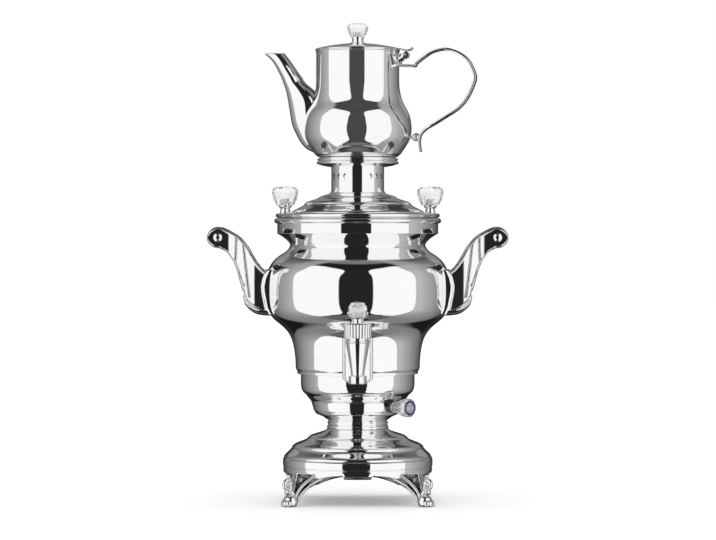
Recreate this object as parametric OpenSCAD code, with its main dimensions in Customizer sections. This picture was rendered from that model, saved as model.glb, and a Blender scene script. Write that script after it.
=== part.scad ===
// Electric samovar with a teapot on its crown.
// Millimetres, +Z up, origin on the floor under the middle of the whole, tap towards -Y.

/* [Sheet metal and fits] */
// Thickness of the vessel and lid sheet
sheet = 1.5; // [1:0.1:2]
// Thickness of the teapot sheet
pot_sheet = 1.2; // [0.8:0.1:1.8]
// Gap round a part that lifts out
lift_gap = 0.4; // [0.3:0.1:0.8]
// Running clearance of a shaft in its hole, on the radius
run_gap = 0.05; // [0.02:0.01:0.1]
// Radius of the small screws and rods
screw_r = 2; // [1.5:0.1:2.5]

/* [Base] */
// Height of the base ring above the floor
leg_h = 33; // [28:1:45]
// Outer radius of the base ring
base_r = 80.5; // [76:0.5:90]
// Height of the base ring
ring_h = 14; // [11:0.5:18]
// Thickness of the skirt under the ring
skirt_t = 4; // [3:0.5:5.5]
// Drop of the skirt at its four corners
skirt_drop = 15.5; // [12:0.5:18]
// Width of the lip in the middle of each arch
lip_w = 31; // [20:1:40]
// Height of the stepped dome over the ring
dome_h = 31; // [24:1:40]
// Radius of the dome's first step
dome_step_low = 70.6; // [64:0.2:74]
// Radius of the dome's second step
dome_step_high = 53.4; // [45:0.2:60]
// How far the paws stand out from the skirt
leg_reach = 21.5; // [17:0.5:26]
// Radius of the paw
paw_r = 9; // [8:0.5:11]
// Radius of the central tie rod
rod_r = 4; // [3:0.5:5]

/* [Neck and bowl] */
// Radius of the neck ring
neck_r = 31.7; // [28:0.1:36]
// Height of the neck ring
neck_h = 10.2; // [8:0.2:14]
// Height of the lower bowl
bowl_h = 48.9; // [44:0.1:60]
// Radius of the bowl at its cup
cup_r = 47.3; // [44:0.1:52]
// Radius of the bowl at the top
bowl_r = 61.2; // [57:0.1:63]

/* [Tank] */
// Radius of the tank's foot
foot_r = 65; // [64:0.1:68]
// Height of the tank's foot
foot_h = 2.7; // [2:0.1:4]
// Radius at the bottom of the tank wall
wall_r = 66.7; // [66:0.1:70]
// Height of the wall and the cove under the belly
wall_h = 58; // [52:1:66]
// Radius where the cove meets the belly
belly_low_r = 92.5; // [88:0.5:94]
// Widest radius of the belly
belly_r = 98.9; // [96:0.1:105]
// Radius where the belly meets the shoulder
belly_top_r = 94.6; // [90:0.1:96]
// Height of the belly below its widest place
belly_low_h = 34.2; // [28:0.2:40]
// Height of the belly above its widest place
belly_top_h = 20.6; // [16:0.2:26]
// Radius of the throat
throat_r = 72.6; // [70:0.1:78]
// Height of the shoulder
shoulder_h = 22.6; // [18:0.2:28]
// Height of the flare over the throat
flare_h = 12.4; // [9:0.2:16]
// Radius of the rim band
band_r = 86.5; // [84:0.1:92]
// Height of the rim band
band_h = 10.8; // [9:0.2:14]
// Radius of the rolled rim bead
rim_bead = 2.8; // [2:0.1:3.4]
// Thickness of the tank floor
floor_t = 2; // [1.5:0.1:3]
// Radius of the heating element's loop
element_r = 40; // [32:1:46]
// Radius of the heating element's tube
element_tube = 4.2; // [3.5:0.1:5]

/* [Lid and pot stand] */
// How far the lid's rolled edge stands out beyond the band
lid_edge = 1.7; // [0.5:0.1:4]
// Radius of the lid's edge bead
lid_bead = 2.3; // [1.8:0.1:3]
// Depth of the spigot inside the rim
spigot_h = 8; // [6:0.5:10]
// Width of the flat flange that carries the knobs, from the band inwards
lid_flange = 15; // [14:0.1:18]
// Radius of the lid's first step
lid_step_low = 57; // [52:0.5:61]
// Radius of the lid's second step
lid_step_high = 41.9; // [37:0.1:46]
// Height of the lid's dome
lid_dome_h = 22.3; // [18:0.1:28]
// Radius of the pot stand's collar
collar_r = 28.4; // [25:0.1:32]
// Height of the pot stand's collar
collar_h = 27.5; // [22:0.5:34]
// Width of a diamond hole in the collar
diamond_w = 4.4; // [3:0.1:5.4]
// Height of a diamond hole in the collar
diamond_h = 6.6; // [5:0.1:9]
// Outer radius of the pot stand's dish
dish_r = 44.1; // [43.2:0.1:50]
// Distance of the lid knobs from the band
knob_inset = 8.5; // [7.5:0.5:9.5]
// Radius of the lid knobs
knob_r = 14.2; // [11:0.1:15]
// Height of the lid knobs
knob_h = 20; // [16:0.5:24]
// Height of the metal ferrules
ferrule_h = 8.6; // [7:0.1:11]

/* [Side handles] */
// Distance of the grip's axis from the belly
handle_reach = 52.7; // [46:0.5:60]
// Height of the grip's axis over the belly's widest place
handle_rise = 51; // [48:0.5:56]
// Radius of the hub at the end of the grip
hub_r = 11.3; // [10:0.1:13]
// Distance between the middles of the two arms
arm_gap = 64; // [56:1:74]
// Thickness of an arm
arm_t = 9; // [7:0.5:11]
// Radius of the grip in the middle
grip_r = 10.2; // [9:0.1:11]

/* [Tap] */
// Gap between the tap's knob and the belly
tap_gap = 0.6; // [0.4:0.1:8]
// Height of the tap's barrel over the tank floor
tap_rise = 26; // [24:0.5:30]
// Radius of the tap's rounded back
cowl_r = 16; // [15:0.5:18]
// Height of the tap's body
cowl_h = 47.5; // [44:0.5:52]
// Radius of the tap's front cone at the top
cone_r = 13; // [12.5:0.1:14]
// Outer radius of the nozzle
nozzle_r = 9.6; // [8.5:0.1:11]
// Radius of the nozzle's bore
nozzle_bore = 5.5; // [4.5:0.1:6.5]
// Height of the nozzle
nozzle_h = 9; // [7:0.5:12]
// Radius of the tap's barrel
barrel_r = 10; // [9:0.5:11]
// Radius of the turning plug
plug_r = 7; // [6.5:0.1:7.5]
// Radius of the waterway
water_r = 4; // [3:0.1:4.5]
// Radius of the turning cap
cap_r = 15.3; // [14:0.1:17]
// Height of the turning cap
cap_h = 15.5; // [13:0.5:19]
// Radius of the tap's knob
tap_knob_r = 9.8; // [8:0.1:12]
// Height of the tap's knob
tap_knob_h = 13.5; // [11:0.5:17]

/* [Thermostat and inlet] */
// Turn of the thermostat from the front
dial_turn = 45; // [40:1:60]
// Height of the thermostat over the bowl's foot
dial_rise = 14.8; // [12:0.2:17]
// Radius of the thermostat knob's face
dial_r = 9.7; // [8:0.1:11]
// Length of the thermostat knob
dial_l = 24; // [18:0.5:30]
// Radius of the thermostat's shaft
shaft_r = 3; // [2.5:0.1:3.5]
// Width of the power inlet
inlet_w = 26; // [24:0.5:30]
// Height of the power inlet
inlet_h = 18; // [16:0.5:19]

/* [Teapot] */
// Turn of the teapot on its stand
pot_turn = 12; // [0:1:20]
// Radius of the pot's foot
pot_foot_r = 40.4; // [38:0.1:40.6]
// Widest radius of the pot
pot_r = 57.9; // [54:0.1:64]
// Height of the pot's widest place
pot_belly_h = 40.5; // [36:0.5:46]
// Height of the pot's shoulder
pot_shoulder_h = 43; // [38:0.5:50]
// Radius of the pot's neck
pot_neck_r = 44.6; // [42:0.1:50]
// Height of the pot's straight neck
pot_neck_h = 40.3; // [34:0.1:48]
// Distance of the spout's lip from the pot's axis
spout_reach = 102.6; // [96:0.2:112]
// Length of the spout's open mouth
mouth_l = 23; // [18:0.5:26]
// Width of the spout's open mouth
mouth_w = 15; // [12:0.5:20]
// Width of the pot's handle strap
strap_w = 11; // [8:0.5:14]
// Thickness of the pot's handle strap
strap_t = 2.3; // [1.8:0.1:3]
// How far the handle stands out from the pot's neck
strap_reach = 85.2; // [78:0.2:92]
// Radius of the ball between the pot and its handle
ball_r = 4.4; // [4:0.1:5]
// Rise of the pot's lid over the rim
pot_lid_h = 6.2; // [4.5:0.1:9]
// Radius of the lid's hinge pin
pin_r = 1.3; // [1:0.1:1.6]
// Radius of the hinge knuckles
knuckle_r = 3.2; // [2.6:0.1:3.6]
// Distance of the hinge pin from the pot's neck
hinge_out = 8.4; // [8:0.1:10]
// Radius of the pot lid's knob
pot_knob_r = 11.3; // [9:0.1:13]
// Height of the pot lid's knob
pot_knob_h = 14.3; // [11:0.1:18]

/* [Hidden] */
$fn = 72;
eps = 0.01;
far = 400; // longer than any cut has to be
steps = 8; // conical bands in one curved stretch

// Levels, from the floor up
ring_z = leg_h;
dome_z = ring_z + ring_h;
neck_z = dome_z + dome_h;
bowl_z = neck_z + neck_h;
tank_z = bowl_z + bowl_h;
floor_top_z = tank_z + floor_t;
cove_z = tank_z + foot_h + 0.055 * wall_h;
belly_low_z = tank_z + foot_h + wall_h;
belly_z = belly_low_z + belly_low_h;
shoulder_z = belly_z + belly_top_h;
throat_z = shoulder_z + shoulder_h;
band_z = throat_z + flare_h;
bead_z = band_z + band_h;
rim_z = bead_z + 2 * rim_bead;
lid_z = rim_z + 0.6 + 2 * lid_bead;
stand_z = lid_z + lid_dome_h;
dish_z = stand_z + collar_h;
pot_z = dish_z + sheet;
pot_belly_z = pot_z + pot_belly_h;
pot_neck_z = pot_belly_z + pot_shoulder_h;
pot_rim_z = pot_neck_z + pot_neck_h;
hinge_z = pot_rim_z - 5.3;
hinge_x = pot_neck_r + hinge_out;
pot_top_z = pot_rim_z + pot_lid_h;

// Base
skirt_r = base_r - 0.5;
plate_t = 1.5;
plate_z = ring_z + 3.5;
plate_r = skirt_r - skirt_t + 0.3;
ledge_w = 3.8;
paw_place = skirt_r + leg_reach;
arch_half = 0.7 * skirt_r;
arch_r = (arch_half * arch_half + skirt_drop * skirt_drop) / (2 * skirt_drop);
lip_drop = 4.4;
leg_bead = 3.2;
// where a screw's flat head meets the skirt's round inside
screw_seat = skirt_r - skirt_t - 2.2 * screw_r * screw_r / (skirt_r - skirt_t);

// Lid
lid_r = band_r + lid_edge;
lid_dome_r = band_r - lid_flange;
knob_place = band_r - knob_inset;

// Tap
tap_reach = belly_r + tap_gap + tap_knob_r;
tap_z = floor_top_z + tap_rise; // the barrel's axis
cowl_z = tap_z + 13.5; // the flat top of the tap's body
nozzle_z = cowl_z - cowl_h;
plug_z = tap_z - 9;
stem_r = 3.5;
cap_z = cowl_z;
tap_neck_h = 6;
tap_knob_z = cap_z + cap_h + tap_neck_h;
shank_r = 7;

// Thermostat and inlet
dial_z = bowl_z + dial_rise;
dial_wall = cup_r + 1.7;
dial_ring_l = 5;
dial_start = dial_wall + dial_ring_l + 0.4;
inlet_z = tank_z - 6 - inlet_h / 2;

// Levels of the knobs' cut: share of the height, radius at a rib, radius between ribs
cut_levels = [[0, 0.58, 0.54], [0.25, 0.8, 0.68], [0.62, 0.97, 0.89], [0.76, 1, 0.9],
    [0.9, 0.92, 0.85], [1, 0.7, 0.65]];

// The vessel's axis stands behind the origin, which lies under the middle of the whole
axis_y = (tap_reach + cap_r - belly_r) / 2;

// Side handles
hub_x = belly_r + handle_reach;
hub_z = belly_z + handle_rise;
arm_y = arm_gap / 2;
grip_l = arm_gap - arm_t;

// ---- functions ----

function mix(a, b, t) = a + (b - a) * t;
function unit(v) = v / norm(v);
function reverse(p) = [for (i = [len(p) - 1 : -1 : 0]) p[i]];

// an S curve, upright at both ends, from point a to point b
function ogee(a, b, n = steps) =
    [for (i = [0:n]) [mix(a.x, b.x, (1 - cos(180 * i / n)) / 2), mix(a.y, b.y, i / n)]];

// a curve that opens out ever faster from a to b, the more so the larger k is
function flare(a, b, k, n = steps) =
    [for (i = [0:n]) [mix(a.x, b.x, pow(i / n, k)), mix(a.y, b.y, i / n)]];

// a bulge that is upright at b, its widest point
function bulge(a, b, n = steps) =
    [for (i = [0:n]) [mix(b.x, a.x, pow(1 - i / n, 2)), mix(a.y, b.y, i / n)]];

// an arc about c from angle a to angle b
function arc(c, r, a, b, n = steps) =
    [for (i = [0:n]) c + r * [cos(mix(a, b, i / n)), sin(mix(a, b, i / n))]];

// one smooth curve through a few points
function blend(a, b, c, d, t) =
    0.5 * ((2 * b) + (c - a) * t + (2 * a - 5 * b + 4 * c - d) * t * t
    + (3 * b - a - 3 * c + d) * t * t * t);
function curve(p, n = 4) = concat([for (i = [0 : len(p) - 2], k = [0 : n - 1])
    blend(p[max(i - 1, 0)], p[i], p[i + 1], p[min(i + 2, len(p) - 1)], k / n)], [p[len(p) - 1]]);

// the same path moved sideways, to its left, by t
function heading(p, i) = unit(p[min(i + 1, len(p) - 1)] - p[min(i, len(p) - 2)]);
function beside(p, t) = [for (i = [0 : len(p) - 1])
    let (a = heading(p, max(i - 1, 0)), b = heading(p, min(i, len(p) - 2)),
         na = [-a.y, a.x], nb = [-b.y, b.x], m = unit(na + nb))
    p[i] + m * t / (m * nb)];
function wall(p, t) = concat(p, reverse(beside(p, t)));

// a pressed sheet: the same path moved in and down, but not below low, with an upright last edge
function pressed(p, t, low) = concat(p, [for (i = [len(p) - 1 : -1 : 0])
    [p[i].x - (i == len(p) - 1 ? 0 : t), max(p[i].y - t, low)]]);

function to_axis(p) = concat([[0, p[0].y]], p, [[0, p[len(p) - 1].y]]);

// ---- outlines, as [radius, height] ----

dome_path = concat(
    ogee([base_r - 1, dome_z], [dome_step_low, dome_z + 0.4 * dome_h]),
    ogee([dome_step_low - 1, dome_z + 0.4 * dome_h], [dome_step_high, dome_z + 0.71 * dome_h]),
    ogee([dome_step_high - 1, dome_z + 0.71 * dome_h], [neck_r + 1.6, neck_z]),
    [[rod_r, neck_z]]);

bowl_path = concat(
    [[rod_r, bowl_z], [neck_r + 1.6, bowl_z]],
    [[cup_r - 2.1, bowl_z + 0.13 * bowl_h], [cup_r, bowl_z + 0.2 * bowl_h]],
    ogee([cup_r + 1, bowl_z + 0.27 * bowl_h], [bowl_r, bowl_z + 0.74 * bowl_h]),
    [[bowl_r, tank_z]]);

cove_path = flare([wall_r, cove_z], [belly_low_r, belly_low_z], 3, 14);
tank_path = concat(
    [[foot_r, tank_z], [foot_r, tank_z + foot_h]],
    cove_path,
    bulge([belly_low_r, belly_low_z], [belly_r, belly_z]),
    reverse([for (q = bulge([belly_top_r, -shoulder_z], [belly_r, -belly_z])) [q.x, -q.y]]),
    ogee([belly_top_r, shoulder_z], [throat_r, throat_z]),
    flare([throat_r, throat_z], [band_r, band_z], 1.6),
    [[band_r, bead_z + eps]]);

lid_path = concat(
    [[lid_r - lid_bead, lid_z]],
    ogee([lid_dome_r, lid_z], [lid_step_low, lid_z + 0.49 * lid_dome_h]),
    ogee([lid_step_low - 0.8, lid_z + 0.49 * lid_dome_h], [lid_step_high, lid_z + 0.78 * lid_dome_h]),
    ogee([lid_step_high - 0.8, lid_z + 0.78 * lid_dome_h], [collar_r + 1.2, stand_z]),
    [[collar_r - 6, stand_z]]);

pot_path = concat(
    [[0, pot_z], [pot_foot_r - 5, pot_z], [pot_foot_r, pot_z + 5], [pot_foot_r, pot_z + 8.8]],
    bulge([pot_foot_r + 4, pot_z + 10.5], [pot_r, pot_belly_z]),
    ogee([pot_r, pot_belly_z], [pot_neck_r, pot_neck_z]),
    [[pot_neck_r, pot_rim_z]]);

// drops a point that repeats the one before it
function tidy(p) = [for (i = [0 : len(p) - 1]) if (i == 0 || norm(p[i] - p[max(i - 1, 0)]) > 0.001) p[i]];

module turn(p) rotate_extrude() polygon(tidy(p));
module shell(p, t) turn(wall(tidy(p), t));
module filled(p) turn(to_axis(tidy(p)));

// a plate drawn as [x, z] and extruded along Y, its middle on the XZ plane
module slab(p, w) rotate([90, 0, 0]) linear_extrude(w, center = true) polygon(tidy(p));

// a rod along Y
module rod_y(r, l) rotate([90, 0, 0]) cylinder(r = r, h = l, center = true);

// puts a piece that is drawn about the vessel's axis in its place
module placed() translate([0, axis_y, 0]) children();

// repeats its children on the left and right sides
module both_sides() for (s = [0, 1]) mirror([s, 0, 0]) children();

// one of the four corners
module corner(i) rotate(45 + 90 * i) children();

// ---- base ----

module arch_cut() {
    difference() {
        translate([0, 0, ring_z - 0.2 - arch_r]) rod_y(arch_r, far);
        translate([-lip_w / 2, -far, ring_z - lip_drop]) cube([lip_w, 2 * far, lip_drop]);
    }
}

module base_ring() {
    color("silver") placed() difference() {
        turn([
            [skirt_r - skirt_t, ring_z - skirt_drop - 1], [skirt_r, ring_z - skirt_drop - 1],
            [skirt_r, ring_z + 4.2], [skirt_r - 0.6, ring_z + 4.8], [base_r, ring_z + 5.4],
            [base_r, dome_z - 1.4], [base_r - 1, dome_z],
            [plate_r, dome_z], [plate_r, plate_z], [plate_r - ledge_w, plate_z],
            [plate_r - ledge_w, ring_z], [skirt_r - skirt_t, ring_z]]);
        arch_cut();
        rotate(90) arch_cut();
        for (i = [0:3]) corner(i) {
            translate([0, 0, ring_z - 6]) rotate([0, 90, 0]) cylinder(r = screw_r, h = base_r);
            for (a = [-13, 13]) rotate(a)
                translate([0, 0, ring_z - 5.5]) rotate([0, 90, 0]) cylinder(r = 1.7, h = base_r);
        }
    }
}

module base_plate() {
    color("gray") placed() translate([0, 0, plate_z]) difference() {
        cylinder(r = plate_r, h = plate_t);
        translate([0, 0, -1]) cylinder(r = rod_r, h = plate_t + 2);
        for (a = [0:60:300]) rotate(a)
            translate([0.6 * plate_r, 0, -1]) cylinder(r = 3, h = plate_t + 2);
    }
}

module base_dome() {
    color("silver") placed() turn(pressed(tidy(dome_path), sheet, dome_z));
}

// the leg seen from its side: its outer face from the skirt down to the paw, and its underside
leg_top = curve([[skirt_r - 3, ring_z - 1.5], [skirt_r + 0.4 * leg_reach, ring_z - 4.5],
    [skirt_r + 0.68 * leg_reach, ring_z - 9.5], [skirt_r + 0.86 * leg_reach, 17],
    [skirt_r + 0.9 * leg_reach, paw_r]]);
leg_under = curve([[skirt_r + 0.6 * leg_reach, paw_r - 3], [skirt_r + 0.5 * leg_reach, 12],
    [skirt_r + 0.3 * leg_reach, 15.5], [skirt_r - 3, 17.5]]);
// the leg seen from the front: half its width, and that of the hollow between its beads
leg_side = curve([[18.5, ring_z - 1.2], [13, 25], [9, 18.5], [6.5, 13], [6, 4]]);
leg_hollow = [for (q = leg_side) [max(q.x - leg_bead, 0.8), q.y - 1.5]];

// two of the leg's views, crossed
module leg_form(side, front) intersection() {
    slab(side, far);
    rotate(90) slab(concat(front, reverse([for (q = front) [-q.x, q.y]])), far);
}

// a foot with three toes, each with a claw
module paw() translate([paw_place, 0, 0]) {
    translate([-0.1 * paw_r, 0, 0.62 * paw_r]) sphere(r = 0.86 * paw_r);
    for (a = [-1, 0, 1]) rotate(32 * a) translate([0.62 * paw_r, 0, 0.4 * paw_r]) {
        sphere(r = 0.42 * paw_r);
        translate([0.3 * paw_r, 0, -0.15 * paw_r]) rotate([0, 115, 0])
            cylinder(r1 = 0.16 * paw_r, r2 = 0.05 * paw_r, h = 0.22 * paw_r);
    }
}

// a curled leaf that stands on the foot's instep
module leaf() translate([paw_place + 0.42 * paw_r, 0, 2.45 * paw_r]) {
    rotate([90, 0, 0]) rotate_extrude() translate([0.42 * paw_r, 0]) circle(r = 0.3 * paw_r);
    rod_y(0.22 * paw_r, 0.75 * paw_r);
    slab(curve([[-0.9 * paw_r, 0.35 * paw_r], [-0.5 * paw_r, 0.66 * paw_r], [0.1 * paw_r, 0.7 * paw_r],
        [-0.2 * paw_r, 0.1 * paw_r], [-0.15 * paw_r, -1.3 * paw_r], [-0.9 * paw_r, -1.3 * paw_r]]),
        0.55 * paw_r);
}

module leg() difference() {
    union() {
        difference() {
            leg_form(concat(leg_top, leg_under), leg_side);
            leg_form(concat([for (q = leg_top) q + [leg_bead, leg_bead]],
                reverse([for (q = leg_top) q - [0.5, 0.6] * leg_bead])), leg_hollow);
        }
        paw();
        leaf();
    }
    translate([-far, -far, -far]) cube([2 * far, 2 * far, far]);
    cylinder(r = skirt_r, h = far);
    translate([0, 0, ring_z - 6]) rotate([0, 90, 0]) cylinder(r = screw_r, h = skirt_r + 6);
}

module leg_front_right() color("silver") placed() corner(3) leg();
module leg_front_left() color("silver") placed() corner(2) leg();
module leg_rear_left() color("silver") placed() corner(1) leg();
module leg_rear_right() color("silver") placed() corner(0) leg();

module leg_screws() {
    color("dimgray") placed() for (i = [0:3]) corner(i) translate([0, 0, ring_z - 6]) rotate([0, 90, 0]) {
        translate([0, 0, screw_seat - 2.2]) difference() {
            cylinder(r = 2 * screw_r, h = 2.2);
            translate([0, 0, -1]) cylinder(r = 0.8 * screw_r, h = 2.2, $fn = 6);
        }
        translate([0, 0, screw_seat]) cylinder(r = screw_r, h = skirt_t + 5);
    }
}

// ---- rod that clamps base, neck and bowl together ----

module tie_rod() {
    color("dimgray") placed() translate([0, 0, plate_z - 7]) cylinder(r = rod_r, h = bowl_z + 10 - plate_z);
}

module nut(r, h) {
    difference() {
        cylinder(r = 1.8 * r, h = h, $fn = 6);
        translate([0, 0, -1]) cylinder(r = r, h = h + 2);
    }
}

module tie_nuts() {
    color("dimgray") placed() {
        translate([0, 0, plate_z - 5]) nut(rod_r, 5);
        translate([0, 0, bowl_z + sheet]) nut(rod_r, 5);
    }
}

module neck_ring() {
    color("silver") placed() turn(concat(
        [[neck_r - 6, neck_z]],
        arc([neck_r - 0.6, neck_z + 0.2 * neck_h], 0.2 * neck_h, -90, 90),
        arc([neck_r - 1.2, neck_z + 0.62 * neck_h], 0.2 * neck_h, -80, 80),
        [[neck_r, neck_z + 0.9 * neck_h], [neck_r + 1.6, bowl_z], [neck_r - 6, bowl_z]]));
}

// ---- bowl and what it carries ----

module dial_axis() rotate(-90 + dial_turn) translate([0, 0, dial_z]) rotate([0, 90, 0]) children();

module inlet_body() {
    translate([-inlet_w / 2, bowl_r - 22, inlet_z - inlet_h / 2]) cube([inlet_w, 26, inlet_h]);
}

module lower_bowl() {
    color("silver") placed() difference() {
        shell(bowl_path, sheet);
        dial_axis() cylinder(r = shaft_r + run_gap, h = bowl_r + 10);
        inlet_body();
    }
}

module power_inlet() {
    color("black") placed() difference() {
        union() {
            inlet_body();
            difference() {
                translate([-inlet_w / 2 - 3, bowl_r - 18, inlet_z - inlet_h / 2 - 2])
                    cube([inlet_w + 6, 22, inlet_h + 4]);
                filled(bowl_path);
            }
        }
        translate([-inlet_w / 2 + 2, bowl_r - 18, inlet_z - inlet_h / 2 + 2])
            cube([inlet_w - 4, 30, inlet_h - 4]);
    }
}

module inlet_pins() {
    color("goldenrod") placed() for (x = [-1, 0, 1])
        translate([x * inlet_w * 0.26, bowl_r - 18, inlet_z + (x == 0 ? 2 : -2)])
            translate([-1, 0, -2]) cube([2, 12, 4]);
}

module thermostat_housing() {
    color("dimgray") placed() difference() {
        dial_axis() translate([0, 0, cup_r - 20]) difference() {
            cylinder(r = 9, h = 30);
            translate([0, 0, -1]) cylinder(r = shaft_r + run_gap, h = 40);
        }
        difference() {
            cylinder(r = far, h = far);
            turn(to_axis(beside(tidy(bowl_path), sheet)));
        }
    }
}

module thermostat_ring() {
    color("black") placed() difference() {
        dial_axis() translate([0, 0, cup_r - 4]) difference() {
            cylinder(r = 6.3, h = dial_wall + dial_ring_l - cup_r + 4);
            translate([0, 0, -1]) cylinder(r = shaft_r + run_gap, h = 40);
        }
        filled(bowl_path);
    }
}

module thermostat_shaft() {
    color("silver") placed() dial_axis() translate([0, 0, cup_r - 18])
        cylinder(r = shaft_r, h = dial_start - cup_r + 18 + 0.6 * dial_l);
}

module thermostat_knob() {
    color("white") placed() dial_axis() translate([0, 0, dial_start]) difference() {
        turn(concat([[0, 0], [0.58 * dial_r, 0]],
            ogee([0.6 * dial_r, 0.5], [dial_r, 0.82 * dial_l]),
            [[dial_r, dial_l - 1], [dial_r - 1, dial_l], [0, dial_l]]));
        translate([0, 0, -1]) cylinder(r = shaft_r, h = 0.6 * dial_l + 1);
        translate([0, 0, dial_l - 1]) difference() {
            cylinder(r = 0.82 * dial_r, h = 3);
            cylinder(r = 0.56 * dial_r, h = 3);
        }
    }
}

module thermostat_band() {
    color("midnightblue") placed() dial_axis() translate([0, 0, dial_start + dial_l - 1]) difference() {
        cylinder(r = 0.82 * dial_r, h = 0.9);
        translate([0, 0, -1]) cylinder(r = 0.56 * dial_r, h = 3);
    }
}

// ---- tank ----

module tap_axis() translate([0, -tap_reach, 0]) children();
module barrel_axis() translate([0, 0, tap_z]) rotate([90, 0, 0]) children();

module tank() {
    color("silver") placed() difference() {
        union() {
            shell(tank_path, sheet);
            turn(concat([[band_r - sheet, bead_z]],
                arc([band_r, bead_z + rim_bead], rim_bead, -90, 90), [[band_r - sheet, rim_z]]));
        }
        barrel_axis() cylinder(r = shank_r, h = wall_r + 10);
    }
}

module element_ends() {
    for (a = [-20, 20]) rotate(90 + a) translate([element_r, 0, 0]) children();
}

module tank_floor() {
    color("gainsboro") placed() translate([0, 0, tank_z]) difference() {
        cylinder(r = foot_r - sheet, h = floor_t);
        element_ends() translate([0, 0, -1]) cylinder(r = element_tube, h = floor_t + 2);
    }
}

module heating_element() {
    color("gray") placed() {
        translate([0, 0, floor_top_z + 12]) rotate(90 + 20) rotate_extrude(angle = 320)
            translate([element_r, 0]) circle(r = element_tube);
        element_ends() translate([0, 0, tank_z - 5]) cylinder(r = element_tube, h = 17 + floor_t);
        element_ends() translate([0, 0, floor_top_z + 12]) sphere(r = element_tube);
    }
}

module element_nuts() {
    color("goldenrod") placed() element_ends() {
        translate([0, 0, tank_z - 4]) nut(element_tube, 4);
        translate([0, 0, floor_top_z]) difference() {
            cylinder(r = 1.6 * element_tube, h = 1.5);
            translate([0, 0, -1]) cylinder(r = element_tube, h = 4);
        }
    }
}

module thermal_cutout() {
    color("dimgray") placed() translate([0, -0.4 * bowl_r, tank_z - 9]) cylinder(r = 8, h = 9);
}

// ---- tap ----

module tap_body() {
    color("silver") placed() difference() {
        union() {
            tap_axis() {
                difference() {
                    union() {
                        translate([0, 0, nozzle_z + cowl_r])
                            cylinder(r = cowl_r, h = cowl_h - cowl_r);
                        translate([0, 0, nozzle_z + cowl_r]) sphere(r = cowl_r);
                    }
                    translate([-far, -2 - far, -far]) cube([2 * far, far, 2 * far]);
                }
                translate([0, 0, nozzle_z + nozzle_h])
                    cylinder(r1 = 0.45 * cone_r, r2 = cone_r, h = cowl_h - nozzle_h - 1.2);
                translate([0, 0, cowl_z - 1.2]) cylinder(r1 = cone_r, r2 = cone_r - 1, h = 1.2);
                translate([0, 0, nozzle_z]) cylinder(r = nozzle_r, h = nozzle_h);
            }
            barrel_axis() translate([0, 0, wall_r + 5]) cylinder(r = barrel_r, h = tap_reach - wall_r - 5);
            barrel_axis() translate([0, 0, wall_r - 10]) cylinder(r = shank_r, h = 20);
        }
        tap_axis() {
            translate([0, 0, plug_z]) cylinder(r = plug_r + run_gap, h = far);
            translate([0, 0, nozzle_z - 1]) cylinder(r = water_r, h = far);
            translate([0, 0, nozzle_z - 1]) cylinder(r = nozzle_bore, h = nozzle_h + 1);
        }
        barrel_axis() cylinder(r = water_r, h = tap_reach);
    }
}

module tap_gasket() {
    color("black") placed() difference() {
        barrel_axis() translate([0, 0, wall_r - 5]) cylinder(r = barrel_r + 2, h = 10);
        barrel_axis() cylinder(r = shank_r, h = wall_r + 10);
        filled(beside(cove_path, -0.05));
    }
}

module tap_nut() {
    color("goldenrod") placed() intersection() {
        barrel_axis() translate([0, 0, wall_r - 7]) nut(shank_r, 12);
        turn(to_axis(beside(tidy(tank_path), sheet)));
    }
}

module tap_plug() {
    color("goldenrod") placed() tap_axis() difference() {
        union() {
            translate([0, 0, plug_z]) cylinder(r = plug_r, h = cowl_z - plug_z);
            translate([0, 0, cowl_z]) cylinder(r = stem_r, h = cap_h + tap_neck_h + 6);
        }
        translate([0, 0, plug_z - 1]) cylinder(r = water_r, h = tap_z - plug_z + 1);
        translate([0, 0, tap_z]) rotate([0, 90, 0]) cylinder(r = water_r, h = 2 * plug_r);
    }
}

module tap_cap() {
    color("silver") placed() tap_axis() translate([0, 0, cap_z]) difference() {
        turn(concat([[0, 0], [cap_r - 0.6, 0], [cap_r, 0.6], [cap_r, cap_h - 1.2], [cap_r - 1.2, cap_h]],
            [[6.6, cap_h]], ogee([6.2, cap_h], [4.9, cap_h + tap_neck_h - 1]),
            [[5.8, cap_h + tap_neck_h], [0, cap_h + tap_neck_h]]));
        translate([0, 0, -1]) cylinder(r = stem_r, h = far);
    }
}

// ---- cut crystal knobs ----

// a stone of radius r and height h with eight ribs between a small foot and a flat table, bored deep
// from below; each level of the cut gives its share of h and the radii at the ribs and between them
module crystal(r, h, bore, deep) difference() {
    loft([for (c = cut_levels) [for (k = [0:15])
        let (a = 22.5 * k, q = r * c[1 + k % 2]) [q * cos(a), q * sin(a), h * c[0]]]]);
    translate([0, 0, -1]) cylinder(r = bore, h = deep + 1);
}

module tap_knob() {
    color("lightcyan") placed() tap_axis() translate([0, 0, tap_knob_z])
        crystal(tap_knob_r, tap_knob_h, stem_r, 6);
}

// a waisted ferrule of height h between a foot and a top
module ferrule(foot, waist, top, h) {
    difference() {
        turn(concat([[0, 0], [foot, 0], [foot, 0.12 * h]],
            ogee([waist + 0.6, 0.16 * h], [waist, 0.55 * h], 4),
            ogee([waist, 0.55 * h], [top, 0.9 * h], 4), [[top, h], [0, h]]));
        translate([0, 0, -1]) cylinder(r = screw_r, h = far);
    }
}

// ---- lid ----

module knob_axis() translate([knob_place, 0, lid_z]) children();

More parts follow.
